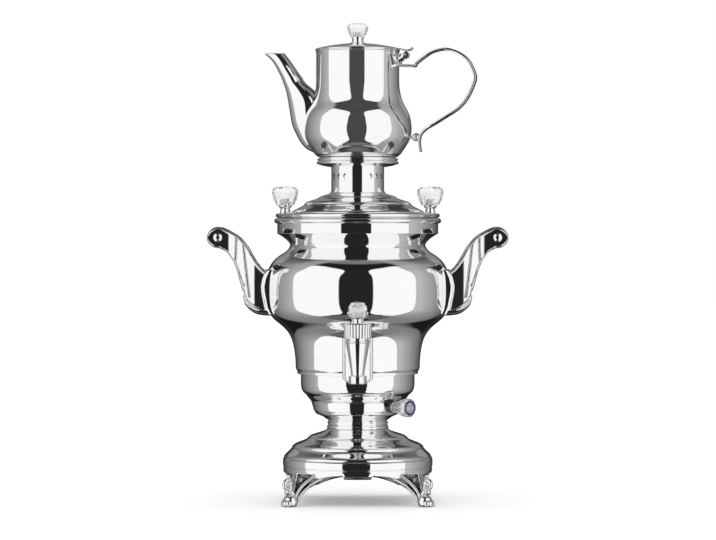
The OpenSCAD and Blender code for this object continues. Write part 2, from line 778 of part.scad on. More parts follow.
module lid_shell() {
    color("silver") placed() difference() {
        union() {
            turn(pressed(tidy(lid_path), sheet, lid_z - sheet));
            turn(concat(
                [[band_r - sheet - lift_gap - sheet, rim_z - spigot_h],
                 [band_r - sheet - lift_gap, rim_z - spigot_h], [band_r - sheet - lift_gap, rim_z],
                 [lid_r - lid_bead, rim_z]],
                arc([lid_r - lid_bead, lid_z - lid_bead], lid_bead, -90, 90),
                [[band_r - sheet - lift_gap - sheet, lid_z]]));
        }
        both_sides() knob_axis() translate([0, 0, -10]) cylinder(r = screw_r, h = 20);
    }
}

module lid_ferrule() {
    color("silver") placed() knob_axis() ferrule(5.6, 5, 0.5 * knob_r, ferrule_h);
}

module lid_knob() {
    color("lightcyan") placed() knob_axis() translate([0, 0, ferrule_h]) crystal(knob_r, knob_h, screw_r, 8);
}

module lid_screw() {
    knob_axis() {
        translate([0, 0, -sheet - 2]) cylinder(r = 2 * screw_r, h = 2);
        translate([0, 0, -sheet - eps]) cylinder(r = screw_r, h = sheet + ferrule_h + 8);
    }
}

module lid_ferrule_left() mirror([1, 0, 0]) lid_ferrule();
module lid_ferrule_right() lid_ferrule();
module lid_knob_left() mirror([1, 0, 0]) lid_knob();
module lid_knob_right() lid_knob();
module lid_screws() color("dimgray") placed() both_sides() lid_screw();

// ---- pot stand ----

module stand_collar() {
    color("silver") placed() translate([0, 0, stand_z]) difference() {
        union() {
            cylinder(r = collar_r, h = collar_h);
            cylinder(r = collar_r + 1, h = 1.2);
        }
        translate([0, 0, -1]) cylinder(r = collar_r - sheet, h = collar_h + 2);
        for (q = [0:90:270], a = [-16, 0, 16]) rotate(q + 45 + a) translate([0, 0, 0.64 * collar_h])
            rotate([90, 0, 90]) linear_extrude(far) polygon([[0, -diamond_h / 2], [diamond_w / 2, 0],
                [0, diamond_h / 2], [-diamond_w / 2, 0]]);
    }
}

module stand_dish() {
    color("silver") placed() translate([0, 0, dish_z]) difference() {
        turn(concat(
            [[0, 0], [collar_r, 0]],
            curve([[collar_r + 3, 0.3], [dish_r - 8, 1.2], [dish_r - 1.6, 3]], 3),
            arc([dish_r - 1.5, 4.5], 1.5, -80, 80, 6),
            arc([dish_r - 2.2, 8.2], 1.4, -70, 90, 6),
            [[dish_r - 2.9, 9.6], [dish_r - 2.9, 4.2], [dish_r - 6, sheet], [0, sheet]]));
        cylinder(r = 8, h = 3 * sheet, center = true);
        for (a = [0:60:300]) rotate(a) translate([17, 0, -1]) cylinder(r = 3, h = 4);
    }
}

// ---- side handles ----

// the arm's outline, as shares of the reach and rise from the belly's widest place to the grip
function arm_at(p) = [belly_r + p.x * handle_reach, belly_z + p.y * handle_rise];
arm_inner = curve([for (p = [[0.03, 0.32], [0.157, 0.46], [0.266, 0.643], [0.36, 0.81],
    [0.537, 1.03], [0.73, 1.15]]) arm_at(p)]);
arm_outer = curve([for (p = [[0.92, 0.8], [0.729, 0.643], [0.592, 0.431], [0.537, 0.235],
    [0.455, -0.075], [0.425, -0.143], [0.442, -0.227], [0.402, -0.396], [0.292, -0.523],
    [0.157, -0.6], [-0.1, -0.627]]) arm_at(p)]);
arm_outline = concat([arm_at([-0.25, -0.627]), arm_at([-0.25, 0.32])], arm_inner,
    [[hub_x - 2, hub_z + hub_r - 0.4], [hub_x, hub_z], [hub_x + 2, hub_z - hub_r + 0.6]], arm_outer);

module handle() {
    color("silver") placed() difference() {
        union() {
            for (s = [-1, 1]) translate([0, s * arm_y, 0]) {
                slab(arm_outline, arm_t);
                translate([hub_x, 0, hub_z]) rod_y(hub_r, arm_t);
            }
            intersection() {
                slab(arm_outline, arm_gap);
                translate([-far, -far, belly_z - far]) cube([2 * far, 2 * far, far + 0.1 * handle_rise]);
                translate([belly_r - 34, 0, 0]) cylinder(r = 34 + 0.46 * handle_reach, h = far);
            }
        }
        filled(tank_path);
        translate([hub_x, 0, hub_z]) rod_y(screw_r, far);
    }
}

module grip() {
    color("black") placed() translate([hub_x, 0, hub_z]) rotate([90, 0, 0]) difference() {
        turn(concat([[0, -grip_l / 2]], bulge([0.85 * grip_r, -grip_l / 2], [grip_r, 0]),
            reverse([for (q = bulge([0.85 * grip_r, -grip_l / 2], [grip_r, 0])) [q.x, -q.y]]),
            [[0, grip_l / 2]]));
        cylinder(r = screw_r, h = far, center = true);
    }
}

module grip_rod() {
    color("dimgray") placed() translate([hub_x, 0, hub_z]) {
        rod_y(screw_r, arm_gap + arm_t);
        for (s = [-1, 1]) translate([0, s * (arm_y + arm_t / 2 + 0.9), 0]) rod_y(4.5, 1.8);
    }
}

module handle_left() mirror([1, 0, 0]) handle();
module handle_right() handle();
module grip_left() mirror([1, 0, 0]) grip();
module grip_right() grip();
module grip_rod_left() mirror([1, 0, 0]) grip_rod();
module grip_rod_right() grip_rod();

// ---- teapot, turned on its stand ----

module on_stand() rotate(-pot_turn) children();

module pot_body() {
    color("silver") placed() on_stand() difference() {
        shell(pot_path, pot_sheet);
        for (row = [0:3], col = [-1:1]) translate([0, 0, pot_belly_z + 4 + 7 * row])
            rotate(180 + 8 * col) rotate([0, 90, 0]) cylinder(r = 2, h = far);
    }
}

// the spout's level cuts, from its root to its mouth: [height, outer edge, inner edge, half width]
spout_low = pot_z + 12.5;
spout_cuts = [
    [0, 0.43, 0.33, 0.6], [0.07, 0.6, 0.33, 0.9], [0.16, 0.68, 0.33, 1.12], [0.27, 0.735, 0.33, 1.2],
    [0.42, 0.765, 0.34, 1.15], [0.58, 0.79, 0.38, 0.98], [0.67, 0.806, 0.515, 0.86],
    [0.77, 0.845, 0.6, 0.76], [0.88, 0.905, 0.685, 0.68]];
spout_mouth = [1, 1, (spout_reach - mouth_l) / spout_reach, 0.5];
spout_curve = curve(concat(spout_cuts, [spout_mouth]), 2);
spout_sides = 24;

function spout_ring(c, t, up) = let (
    out = c[1] * spout_reach - t, back = c[2] * spout_reach + t, half = c[3] * mouth_w - t)
    [for (k = [0 : spout_sides - 1]) let (a = 360 * k / spout_sides)
        [-(out + back) / 2 - (out - back) / 2 * cos(a), half * sin(a),
         mix(spout_low, pot_rim_z - 2.7, c[0]) + up]];

// a closed skin over a stack of rings with as many points each
module loft(rings) {
    n = len(rings[0]);
    last = len(rings) - 1;
    polyhedron([for (r = rings, p = r) p], concat(
        [[for (k = [n - 1 : -1 : 0]) k]],
        [for (i = [0 : last - 1], k = [0 : n - 1]) let (a = i * n + k, b = i * n + (k + 1) % n)
            each [[a, b, a + n], [b, b + n, a + n]]],
        [[for (k = [0 : n - 1]) last * n + k]]));
}

module pot_spout() {
    top = len(spout_curve) - 1;
    color("silver") placed() on_stand() difference() {
        loft([for (c = spout_curve) spout_ring(c, 0, 0)]);
        loft([for (i = [0:top]) spout_ring(spout_curve[i], pot_sheet, i == top ? 1 : 0)]);
        filled(pot_path);
    }
}

// the handle's strap, as shares of its reach from the neck and of the pot's height
strap_foot_z = pot_rim_z - 16.4;
strap_low_z = pot_z + 15;
function strap_at(p) = [pot_neck_r + p.x * strap_reach, mix(strap_low_z, strap_foot_z, p.y)];
strap_arm = [for (p = [[0.23, 1.04], [0.34, 1.12], [0.45, 1.18], [0.61, 1.205], [0.75, 1.17],
    [0.87, 1.1], [0.94, 1.02], [0.99, 0.91], [0.995, 0.85], [0.975, 0.76], [0.89, 0.605],
    [0.775, 0.485], [0.61, 0.39], [0.49, 0.32], [0.365, 0.26], [0.3, 0.2], [0.277, 0.14],
    [0.28, 0.07], [0.3, 0]]) strap_at(p)];
strap_path = concat([strap_at([-0.05, 1]), strap_at([0.19, 0.99]), strap_at([0.215, 0.985])],
    curve(strap_arm, 3));

module strap() {
    slab(concat(beside(strap_path, strap_t / 2), reverse(beside(strap_path, -strap_t / 2))), strap_w);
}

module pot_handle() {
    color("silver") placed() on_stand() difference() {
        union() {
            strap();
            translate([0, 0, strap_foot_z + strap_t / 2 - 0.62 * strap_w]) rotate([0, 90, 0])
                cylinder(r = 0.62 * strap_w, h = pot_neck_r + 1.6);
        }
        filled(pot_path);
    }
}

ball_z = mix(strap_low_z, strap_foot_z, 0.165);
ball_x = pot_neck_r + 0.284 * strap_reach - strap_t / 2 - ball_r + 0.7;

module handle_ball() {
    color("silver") placed() on_stand() difference() {
        translate([ball_x, 0, ball_z]) {
            sphere(r = ball_r);
            rotate([0, -90, 0]) cylinder(r = 1.6, h = 12);
            rotate([0, 90, 0]) cylinder(r = 1.6, h = ball_r);
        }
        filled(pot_path);
        strap();
    }
}

// ---- pot lid and its hinge ----

knuckle_w = 5;

module hinge_bracket() {
    color("silver") placed() on_stand() difference() {
        union() {
            translate([pot_neck_r - 2, -6, hinge_z - 9]) cube([4, 12, 10.5]);
            for (s = [-1, 1]) translate([0, s * (knuckle_w + 0.6), 0]) {
                translate([hinge_x, 0, hinge_z]) rod_y(knuckle_r, knuckle_w);
                slab([[pot_neck_r, hinge_z - 8], [hinge_x + 0.5, hinge_z - knuckle_r + 0.1],
                    [hinge_x, hinge_z + knuckle_r - 2], [pot_neck_r, hinge_z + 1.5]], knuckle_w);
            }
        }
        filled(pot_path);
        translate([hinge_x, 0, hinge_z]) rod_y(pin_r, far);
        translate([hinge_x, 0, hinge_z]) rod_y(knuckle_r + 0.4, knuckle_w + 1.2);
    }
}

module hinge_pin() {
    color("dimgray") placed() on_stand() translate([hinge_x, 0, hinge_z])
        rod_y(pin_r, 3 * knuckle_w + 1.2);
}

tail = curve([[hinge_x - 12, pot_rim_z + 2.4], [hinge_x - 4, pot_rim_z + 1.6],
    [hinge_x + 2, hinge_z + knuckle_r + 1.4], [hinge_x + 6, hinge_z + 5.4], [hinge_x + 8, hinge_z + 8.8]]);

module hinge_leaf() {
    color("silver") placed() on_stand() difference() {
        union() {
            slab(concat(beside(tail, 0.8), reverse(beside(tail, -0.8))), knuckle_w);
            translate([hinge_x, 0, hinge_z]) rod_y(knuckle_r, knuckle_w);
            slab([[hinge_x - 2.2, hinge_z + 1.5], [hinge_x + 2.2, hinge_z + 1.5],
                [hinge_x + 2.2, hinge_z + knuckle_r + 1.4], [hinge_x - 2.2, hinge_z + 6.4]], knuckle_w);
        }
        translate([hinge_x, 0, hinge_z]) rod_y(pin_r + run_gap, far);
        pot_lid_solid();
    }
}

module pot_lid_solid() turn(concat([[0, pot_rim_z]], pot_lid_path, [[0, pot_top_z]]));

pot_lid_path = concat([[pot_neck_r + 0.9, pot_rim_z], [pot_neck_r + 0.9, pot_rim_z + 1.6]],
    [for (i = [0:6]) let (r = mix(pot_neck_r, 8.6, i / 6))
        [r, pot_rim_z + 1.9 + (pot_lid_h - 1.9) * (1 - pow((r - 8.6) / (pot_neck_r - 8.6), 2))]]);

module pot_lid() {
    color("silver") placed() on_stand() difference() {
        union() {
            pot_lid_solid();
            translate([0, 0, pot_rim_z - 2]) difference() {
                cylinder(r = pot_neck_r - 3.1, h = 3);
                translate([0, 0, -1]) cylinder(r = pot_neck_r - 4.6, h = 5);
            }
        }
        turn(concat([[0, pot_rim_z - 3]], [[pot_neck_r - 4.6, pot_rim_z - 3], [pot_neck_r - 4.6, pot_rim_z + 0.9]],
            [for (i = [1:6]) let (r = mix(pot_neck_r - 2, 8, i / 6))
                [r - 2.6, pot_rim_z + 0.4 + (pot_lid_h - 1.9) * (1 - pow((r - 8.6) / (pot_neck_r - 8.6), 2))]],
            [[2.5 * screw_r, pot_top_z - pot_sheet], [0, pot_top_z - pot_sheet]]));
        cylinder(r = screw_r, h = far * 2);
    }
}

module pot_lid_ferrule() {
    color("silver") placed() on_stand() translate([0, 0, pot_top_z]) ferrule(8.6, 5, 0.59 * pot_knob_r, ferrule_h - 0.5);
}

module pot_lid_knob() {
    color("lightcyan") placed() on_stand() translate([0, 0, pot_top_z + ferrule_h - 0.5])
        crystal(pot_knob_r, pot_knob_h, screw_r, 6);
}

module pot_lid_screw() {
    color("dimgray") placed() on_stand() {
        translate([0, 0, pot_top_z - pot_sheet - 2]) cylinder(r = 2 * screw_r, h = 2);
        translate([0, 0, pot_top_z - pot_sheet - eps]) cylinder(r = screw_r, h = pot_sheet + ferrule_h + 5.5);
    }
}

base_ring();
base_plate();
base_dome();
leg_front_right();
leg_front_left();
leg_rear_left();
leg_rear_right();
leg_screws();
tie_rod();
tie_nuts();
neck_ring();
lower_bowl();
power_inlet();
inlet_pins();
thermostat_housing();
thermostat_ring();
thermostat_shaft();
thermostat_knob();
thermostat_band();
tank();
tank_floor();
heating_element();
element_nuts();
thermal_cutout();
tap_body();
tap_gasket();
tap_nut();
tap_plug();
tap_cap();
tap_knob();
lid_shell();
lid_ferrule_left();
lid_ferrule_right();
lid_knob_left();
lid_knob_right();
lid_screws();
stand_collar();
stand_dish();
handle_left();
handle_right();
grip_left();
grip_right();
grip_rod_left();
grip_rod_right();
pot_body();
pot_spout();
pot_handle();
handle_ball();
hinge_bracket();
hinge_pin();
hinge_leaf();
pot_lid();
pot_lid_ferrule();
pot_lid_knob();
pot_lid_screw();
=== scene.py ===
import math
import bmesh
import bpy
import numpy as np
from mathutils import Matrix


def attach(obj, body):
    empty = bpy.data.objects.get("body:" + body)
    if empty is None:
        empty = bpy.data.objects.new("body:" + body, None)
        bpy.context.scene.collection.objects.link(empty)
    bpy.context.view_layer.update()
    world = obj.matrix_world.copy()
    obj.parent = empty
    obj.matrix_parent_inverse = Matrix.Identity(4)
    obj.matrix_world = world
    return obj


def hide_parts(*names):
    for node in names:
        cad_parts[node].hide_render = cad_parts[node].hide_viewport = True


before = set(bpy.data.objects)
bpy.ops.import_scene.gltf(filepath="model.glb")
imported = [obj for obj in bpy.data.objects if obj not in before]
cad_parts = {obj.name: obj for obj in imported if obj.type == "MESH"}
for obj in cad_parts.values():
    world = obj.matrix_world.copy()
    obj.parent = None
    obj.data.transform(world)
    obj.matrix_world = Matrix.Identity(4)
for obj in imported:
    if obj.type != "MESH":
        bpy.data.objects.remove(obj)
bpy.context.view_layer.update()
print("frame loaded")

# sizes below are millimetres in the object's own frame and become metres as a mesh is made
mm = 0.001
axisY = 12.85  # the vessel's upright axis stands this far behind the origin

camera = {"axisDistance": 3225.0, "height": 286.0, "aside": 0.3, "lens": 150.8, "dip": 0.668}


def makeCamera(c):
    data = bpy.data.cameras.new("studioCamera")
    data.lens = c["lens"]
    data.sensor_width = 36.0
    data.clip_end = 60.0
    view = bpy.data.objects.new("studioCamera", data)
    view.location = (c["aside"] * mm, (axisY - c["axisDistance"]) * mm, c["height"] * mm)
    view.rotation_euler = (math.radians(90.0 - c["dip"]), 0.0, 0.0)
    bpy.context.scene.collection.objects.link(view)
    bpy.context.scene.camera = view


makeCamera(camera)
bpy.context.scene.view_settings.view_transform = "Standard"
print("camera placed")


# materials: each starts from newMaterial and gets its variation from noise on object coordinates

def newMaterial(name):
    mat = bpy.data.materials.new(name)
    mat.use_nodes = True
    tree = mat.node_tree
    tree.nodes.clear()
    out = tree.nodes.new("ShaderNodeOutputMaterial")
    shader = tree.nodes.new("ShaderNodeBsdfPrincipled")
    tree.links.new(shader.outputs[0], out.inputs[0])
    return mat, tree, shader


def objectPoint(tree, stretch=(1.0, 1.0, 1.0)):
    # the surface point in object metres, each axis multiplied by stretch
    point = tree.nodes.new("ShaderNodeTexCoord")
    place = tree.nodes.new("ShaderNodeMapping")
    place.inputs["Scale"].default_value = stretch
    tree.links.new(point.outputs["Object"], place.inputs["Vector"])
    return place.outputs["Vector"]


def noise(tree, vector, scale, detail=2.0):
    tex = tree.nodes.new("ShaderNodeTexNoise")
    tex.inputs["Scale"].default_value = scale
    tex.inputs["Detail"].default_value = detail
    tree.links.new(vector, tex.inputs["Vector"])
    return tex.outputs["Fac"]


def spread(tree, value, low, high):
    # a 0..1 value carried linearly onto low..high
    node = tree.nodes.new("ShaderNodeMapRange")
    node.inputs["To Min"].default_value = low
    node.inputs["To Max"].default_value = high
    tree.links.new(value, node.inputs["Value"])
    return node.outputs["Result"]


def tint(tree, value, dark, light):
    # a colour between dark and light after a 0..1 value
    ramp = tree.nodes.new("ShaderNodeValToRGB")
    ramp.color_ramp.elements[0].color = (*dark, 1)
    ramp.color_ramp.elements[1].color = (*light, 1)
    ramp.color_ramp.elements[0].position = 0.3
    ramp.color_ramp.elements[1].position = 0.7
    tree.links.new(value, ramp.inputs[0])
    return ramp.outputs[0]


def bump(tree, height, strength, distance):
    node = tree.nodes.new("ShaderNodeBump")
    node.inputs["Strength"].default_value = strength
    node.inputs["Distance"].default_value = distance
    tree.links.new(height, node.inputs["Height"])
    return node.outputs["Normal"]


def drifting(tree, shader, scale, detail, rough):
    # the roughness drifts between two values over the surface
    cloud = noise(tree, objectPoint(tree), scale, detail)
    tree.links.new(spread(tree, cloud, *rough), shader.inputs["Roughness"])


def polished(name, dark, light, rough, wave, waveScale, metallic=1.0):
    # mirror-bright metal: faint clouding of tone and gloss, and a slow wave where a press or a mould left one
    mat, tree, shader = newMaterial(name)
    shader.inputs["Metallic"].default_value = metallic
    point = objectPoint(tree)
    tree.links.new(tint(tree, noise(tree, point, 35.0, 3.0), dark, light), shader.inputs["Base Color"])
    drifting(tree, shader, 60.0, 4.0, rough)
    tree.links.new(bump(tree, noise(tree, point, waveScale, 1.0), wave, 0.001), shader.inputs["Normal"])
    return mat


def brushed(name, dark, light, rough):
    # drawn metal: noise stretched along the height gives fine level lines
    mat, tree, shader = newMaterial(name)
    shader.inputs["Metallic"].default_value = 1.0
    grain = noise(tree, objectPoint(tree, (40.0, 40.0, 2500.0)), 1.0, 3.0)
    tree.links.new(tint(tree, grain, dark, light), shader.inputs["Base Color"])
    tree.links.new(spread(tree, grain, *rough), shader.inputs["Roughness"])
    tree.links.new(bump(tree, grain, 0.15, 0.0002), shader.inputs["Normal"])
    return mat


def moulded(name, dark, light, rough, coat):
    # glossy plastic: a trace of mould texture under a clear coat
    mat, tree, shader = newMaterial(name)
    grain = noise(tree, objectPoint(tree), 900.0, 2.0)
    tree.links.new(tint(tree, grain, dark, light), shader.inputs["Base Color"])
    drifting(tree, shader, 120.0, 3.0, rough)
    tree.links.new(bump(tree, grain, 0.05, 0.0003), shader.inputs["Normal"])
    shader.inputs["Coat Weight"].default_value = coat
    shader.inputs["Coat Roughness"].default_value = 0.08
    return mat


def clear(name, colour, rough):
    # cut clear acrylic, with the faintest cloud inside its polish
    mat, tree, shader = newMaterial(name)
    shader.inputs["Base Color"].default_value = (*colour, 1)
    shader.inputs["Transmission Weight"].default_value = 0.8
    shader.inputs["IOR"].default_value = 1.49
    drifting(tree, shader, 150.0, 2.0, rough)
    return mat


sheetLook = ((0.93, 0.935, 0.94), (0.96, 0.962, 0.965), (0.012, 0.03), 0.012, 9.0)
chromeSheet = polished("chromeSheet", *sheetLook)
# the teapot's polish has a trace of matt in it, so that its darks are grey
chromePot = polished("chromePot", *sheetLook, metallic=0.945)
# painted shade: a dark polished metal whose darker colour stands in for the shade in the legs' hollow recesses
chromeShade = polished("chromeShade", (0.13, 0.13, 0.135), (0.18, 0.18, 0.185), (0.05, 0.1), 0.05, 30.0)
chromeCast = polished("chromeCast", (0.9, 0.905, 0.91), (0.95, 0.952, 0.955), (0.03, 0.07), 0.06, 45.0)
drawnSteel = brushed("drawnSteel", (0.5, 0.5, 0.51), (0.68, 0.68, 0.69), (0.28, 0.42))
turnedBrass = brushed("turnedBrass", (0.62, 0.46, 0.2), (0.8, 0.62, 0.32), (0.22, 0.35))
dullSheath = brushed("dullSheath", (0.3, 0.3, 0.31), (0.45, 0.45, 0.46), (0.4, 0.55))
blackPlastic = moulded("blackPlastic", (0.012, 0.012, 0.013), (0.03, 0.03, 0.032), (0.18, 0.3), 0.4)
violetRing = moulded("violetRing", (0.022, 0.015, 0.13), (0.045, 0.035, 0.26), (0.1, 0.2), 0.6)
blackRubber = moulded("blackRubber", (0.015, 0.015, 0.015), (0.03, 0.03, 0.03), (0.6, 0.8), 0.0)
crystalClear = clear("crystalClear", (0.985, 0.987, 0.99), (0.015, 0.05))
print("materials made")


# surfaces and outlines

def surface(name, grid, closedU=True, closedV=False, weld=False, smooth=True, sharp=0):
    # vertex (i, j) of the grid joins its neighbours (i, j+1), (i+1, j+1) and (i+1, j) into one face;
    # U runs along j and V along i, and a shell whose volume comes out negative is turned the right way round
    rows, cols = grid.shape[:2]
    index = np.arange(rows * cols).reshape(rows, cols)
    here, right = (index, np.roll(index, -1, 1)) if closedU else (index[:, :-1], index[:, 1:])
    if closedV:
        a, b, c, d = here, right, np.roll(right, -1, 0), np.roll(here, -1, 0)
    else:
        a, b, c, d = here[:-1], right[:-1], right[1:], here[1:]
    quads = np.stack([a, b, c, d], -1).reshape(-1, 4)
    p = grid.reshape(-1, 3) * mm
    m = p - p.mean(0)
    corner = [m[quads[:, k]] for k in range(4)]
    volume = np.einsum("ij,ij->", corner[0], np.cross(corner[1], corner[2]))
    volume += np.einsum("ij,ij->", corner[0], np.cross(corner[2], corner[3]))
    if volume < 0:
        quads = quads[:, ::-1]
    mesh = bpy.data.meshes.new(name)
    mesh.from_pydata(p.tolist(), [], quads.tolist())
    if weld:
        work = bmesh.new()
        work.from_mesh(mesh)
        bmesh.ops.remove_doubles(work, verts=work.verts, dist=3e-6)
        bmesh.ops.dissolve_degenerate(work, dist=1e-7, edges=work.edges)
        work.to_mesh(mesh)
        work.free()
    mesh.polygons.foreach_set("use_smooth", np.full(len(mesh.polygons), smooth))
    if sharp:
        mesh.set_sharp_from_angle(angle=math.radians(sharp))
    obj = bpy.data.objects.new(name, mesh)
    bpy.context.scene.collection.objects.link(obj)
    return obj


def dress(obj, material, body, replaces=()):
    obj.data.materials.clear()
    obj.data.materials.append(material)
    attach(obj, body)
    if replaces:
        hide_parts(*replaces)
    return obj


def joinUp(name, pieces):
    # several shells of one real piece become one mesh
    work = bmesh.new()
    for piece in pieces:
        work.from_mesh(piece.data)
        bpy.data.objects.remove(piece)
    mesh = bpy.data.meshes.new(name)
    work.to_mesh(mesh)
    work.free()
    obj = bpy.data.objects.new(name, mesh)
    bpy.context.scene.collection.objects.link(obj)
    return obj


def line(*parts):
    # points and curves put end to end
    return np.concatenate([np.atleast_2d(np.asarray(p, float)) for p in parts])


def ogee(a, b, n=40):
    # an S curve upright at both ends: the radius follows half a cosine wave while the height rises evenly
    t = np.linspace(0, 1, n)
    return np.stack([a[0] + (b[0] - a[0]) * (1 - np.cos(np.pi * t)) / 2, a[1] + (b[1] - a[1]) * t], -1)


def flare(a, b, power, n=50):
    # opens ever faster: the radius follows the height's share raised to a power
    t = np.linspace(0, 1, n)
    return np.stack([a[0] + (b[0] - a[0]) * t ** power, a[1] + (b[1] - a[1]) * t], -1)


def arc(c, r, a, b, n=20):
    # part of a circle about c from angle a to angle b, in degrees
    t = np.radians(np.linspace(a, b, n))
    return np.stack([c[0] + r * np.cos(t), c[1] + r * np.sin(t)], -1)


def through(points, n=200):
    # one smooth curve through a few points: a cubic blend of each point and its neighbours on both sides
    p = np.asarray(points, float)
    q = np.vstack([2 * p[0] - p[1], p, 2 * p[-1] - p[-2]])
    s = np.linspace(0, len(p) - 1 - 1e-9, n)
    i = s.astype(int)
    t = (s - i)[:, None]
    a, b, c, d = q[i], q[i + 1], q[i + 2], q[i + 3]
    return 0.5 * (2 * b + (c - a) * t + (2 * a - 5 * b + 4 * c - d) * t ** 2 + (3 * b - a - 3 * c + d) * t ** 3)


def normals(p):
    # the left-hand normal of a plane curve, from its central differences
    d = np.gradient(p, axis=0)
    d /= np.maximum(np.hypot(d[:, 0], d[:, 1]), 1e-9)[:, None]
    return np.stack([-d[:, 1], d[:, 0]], -1)


def walled(p, t):
    # a sheet of thickness t: the curve, and the same curve moved sideways, run back
    p = evened(p, 0.25)
    return np.vstack([p, (p + normals(p) * t)[::-1]])


def evened(p, step):
    # the same curve with points at even distances
    p = np.asarray(p, float)
    far = np.r_[True, np.hypot(*np.diff(p, axis=0).T) > 1e-6]
    p = p[far]
    s = np.r_[0, np.cumsum(np.hypot(*np.diff(p, axis=0).T))]
    t = np.linspace(0, s[-1], max(8, int(s[-1] / step)))
    return np.stack([np.interp(t, s, p[:, 0]), np.interp(t, s, p[:, 1])], -1)


def softened(p, radius, closed, turnStep=6.0, lengthStep=4.0):
    # corners rounded by a moving bell average along the curve, then points spaced so that each stretch
    # turns by about turnStep degrees or runs lengthStep millimetres
    p = np.asarray(p, float)
    if closed:
        p = np.vstack([p, p[:1]])
    p = evened(p, 0.08)
    half = max(1, int(radius / 0.08))
    bell = np.hanning(2 * half + 3)[1:-1]
    bell /= bell.sum()
    if closed:
        pad = np.vstack([p[-1 - half:-1], p, p[1:half + 1]])
    else:
        pad = np.vstack([2 * p[0] - p[half:0:-1], p, 2 * p[-1] - p[-2:-2 - half:-1]])
    q = np.stack([np.convolve(pad[:, k], bell, "valid") for k in (0, 1)], -1)
    d = np.diff(q, axis=0)
    turn = np.abs(np.diff(np.unwrap(np.arctan2(d[:, 1], d[:, 0]))))
    cost = np.hypot(d[:, 0], d[:, 1]) / lengthStep
    cost[1:] += turn / math.radians(turnStep)
    s = np.r_[0, np.cumsum(cost)]
    t = np.linspace(0, s[-1], max(8, int(s[-1]) + 1))
    r = np.stack([np.interp(t, s, q[:, 0]), np.interp(t, s, q[:, 1])], -1)
    return r[:-1] if closed else r


def spin(p, segments=192):
    # the profile's radius goes round the upright axis, its height stays
    a = np.linspace(0, 2 * np.pi, segments, endpoint=False)[None, :]
    r, z = p[:, :1], p[:, 1:]
    return np.stack([r * np.cos(a), r * np.sin(a), z + 0 * a], -1)


def placed(grid, turn=0.0, lift=(0, 0, 0)):
    # turned about the upright axis, in degrees, and set behind the origin
    c, s = math.cos(math.radians(turn)), math.sin(math.radians(turn))
    x, y, z = grid[..., 0] + lift[0], grid[..., 1] + lift[1], grid[..., 2] + lift[2]
    return np.stack([c * x - s * y, s * x + c * y + axisY, z], -1)


def turned(name, profile, soft=0.4, closed=True, segments=192, lay=None, turnStep=6.0):
    # a turned or spun piece: its softened profile about the vessel's axis, or laid by lay
    grid = spin(softened(profile, soft, closed, turnStep), segments)
    grid = placed(grid) if lay is None else lay(grid)
    return surface(name, grid, closedV=closed, weld=not closed)


def drawnIn(grid):
    # each end row is followed by its own middle, so that a tube's skin is closed
    ends = grid[[0, -1]].mean(1, keepdims=True)
    return np.concatenate([ends[:1] + 0 * grid[:1], grid, ends[1:] + 0 * grid[:1]])


def alongPath(name, path, section, lay, scale=None):
    # a bar along a plane curve: each point of the section goes sideways in the plane and across it
    p = np.asarray(path, float)
    n = normals(p)
    k = np.ones(len(p)) if scale is None else np.asarray(scale, float)
    s = np.asarray(section, float)
    x = p[:, 0, None] + n[:, 0, None] * s[None, :, 0] * k[:, None]
    z = p[:, 1, None] + n[:, 1, None] * s[None, :, 0] * k[:, None]
    y = s[None, :, 1] * k[:, None] + 0 * x
    return surface(name, lay(drawnIn(np.stack([x, y, z], -1))), weld=True)


def roundedBox(w, h, r, n=6):
    # a rectangle w by h with its corners rounded by r, as one loop
    return line(arc((w / 2 - r, h / 2 - r), r, 0, 90, n), arc((r - w / 2, h / 2 - r), r, 90, 180, n),
                arc((r - w / 2, r - h / 2), r, 180, 270, n), arc((w / 2 - r, r - h / 2), r, 270, 360, n))


# base: dome and the pierced ring below it
base = {"radius": 80.5, "ringZ": 33.0, "domeZ": 47.0, "stepLow": 70.6, "stepHigh": 53.4, "neckRadius": 31.7,
        "neckZ": 78.0, "bowlZ": 88.2, "rodHole": 4.2, "sheet": 1.6, "archDrop": 15.5, "lipWidth": 31.0, "lipDrop": 4.4,
        "cornerFrom": 36.5, "cornerDrop": 2.0, "curl": 3.8}


def domePath(b):
    rise = b["neckZ"] - b["domeZ"]
    low, high = b["domeZ"] + 0.4 * rise, b["domeZ"] + 0.71 * rise
    outer = line(ogee((b["radius"] - 1, b["domeZ"]), (b["stepLow"], low)),
                 ogee((b["stepLow"] - 1, low), (b["stepHigh"], high)),
                 ogee((b["stepHigh"] - 1, high), (b["neckRadius"] + 1.6, b["neckZ"])), [(b["rodHole"], b["neckZ"])])
    shell = line(outer, (outer - (0, b["sheet"]))[::-1])
    shell[:, 1] = np.maximum(shell[:, 1], b["domeZ"])
    return shell


def skirtEdge(b, azimuth):
    # the lower edge's height round the ring: in each quarter an arch, an arc of a circle over the middle,
    # in its middle a short lip with rounded corners that hangs below the arch, and between the quarters a level
    # corner where a leg stands
    quarter = (np.degrees(azimuth) + 45.0) % 90.0 - 45.0
    x = np.abs((b["radius"] - 1) * np.sin(np.radians(quarter)))
    half = 0.7 * (b["radius"] - 1)
    r = (half ** 2 + b["archDrop"] ** 2) / (2 * b["archDrop"])
    arch = b["ringZ"] - 0.2 - (r - np.sqrt(r ** 2 - np.minimum(x, half) ** 2))
    inside = np.clip((b["lipWidth"] / 2 - x) / 1.6, 0, 1)
    lip = b["ringZ"] - b["lipDrop"] + 1.5 * (1 - np.sqrt(1 - (1 - inside) ** 2))
    edge = np.where(inside > 0, np.minimum(arch, lip), arch)
    return np.where(np.abs(quarter) > b["cornerFrom"], b["ringZ"] - b["cornerDrop"], edge)


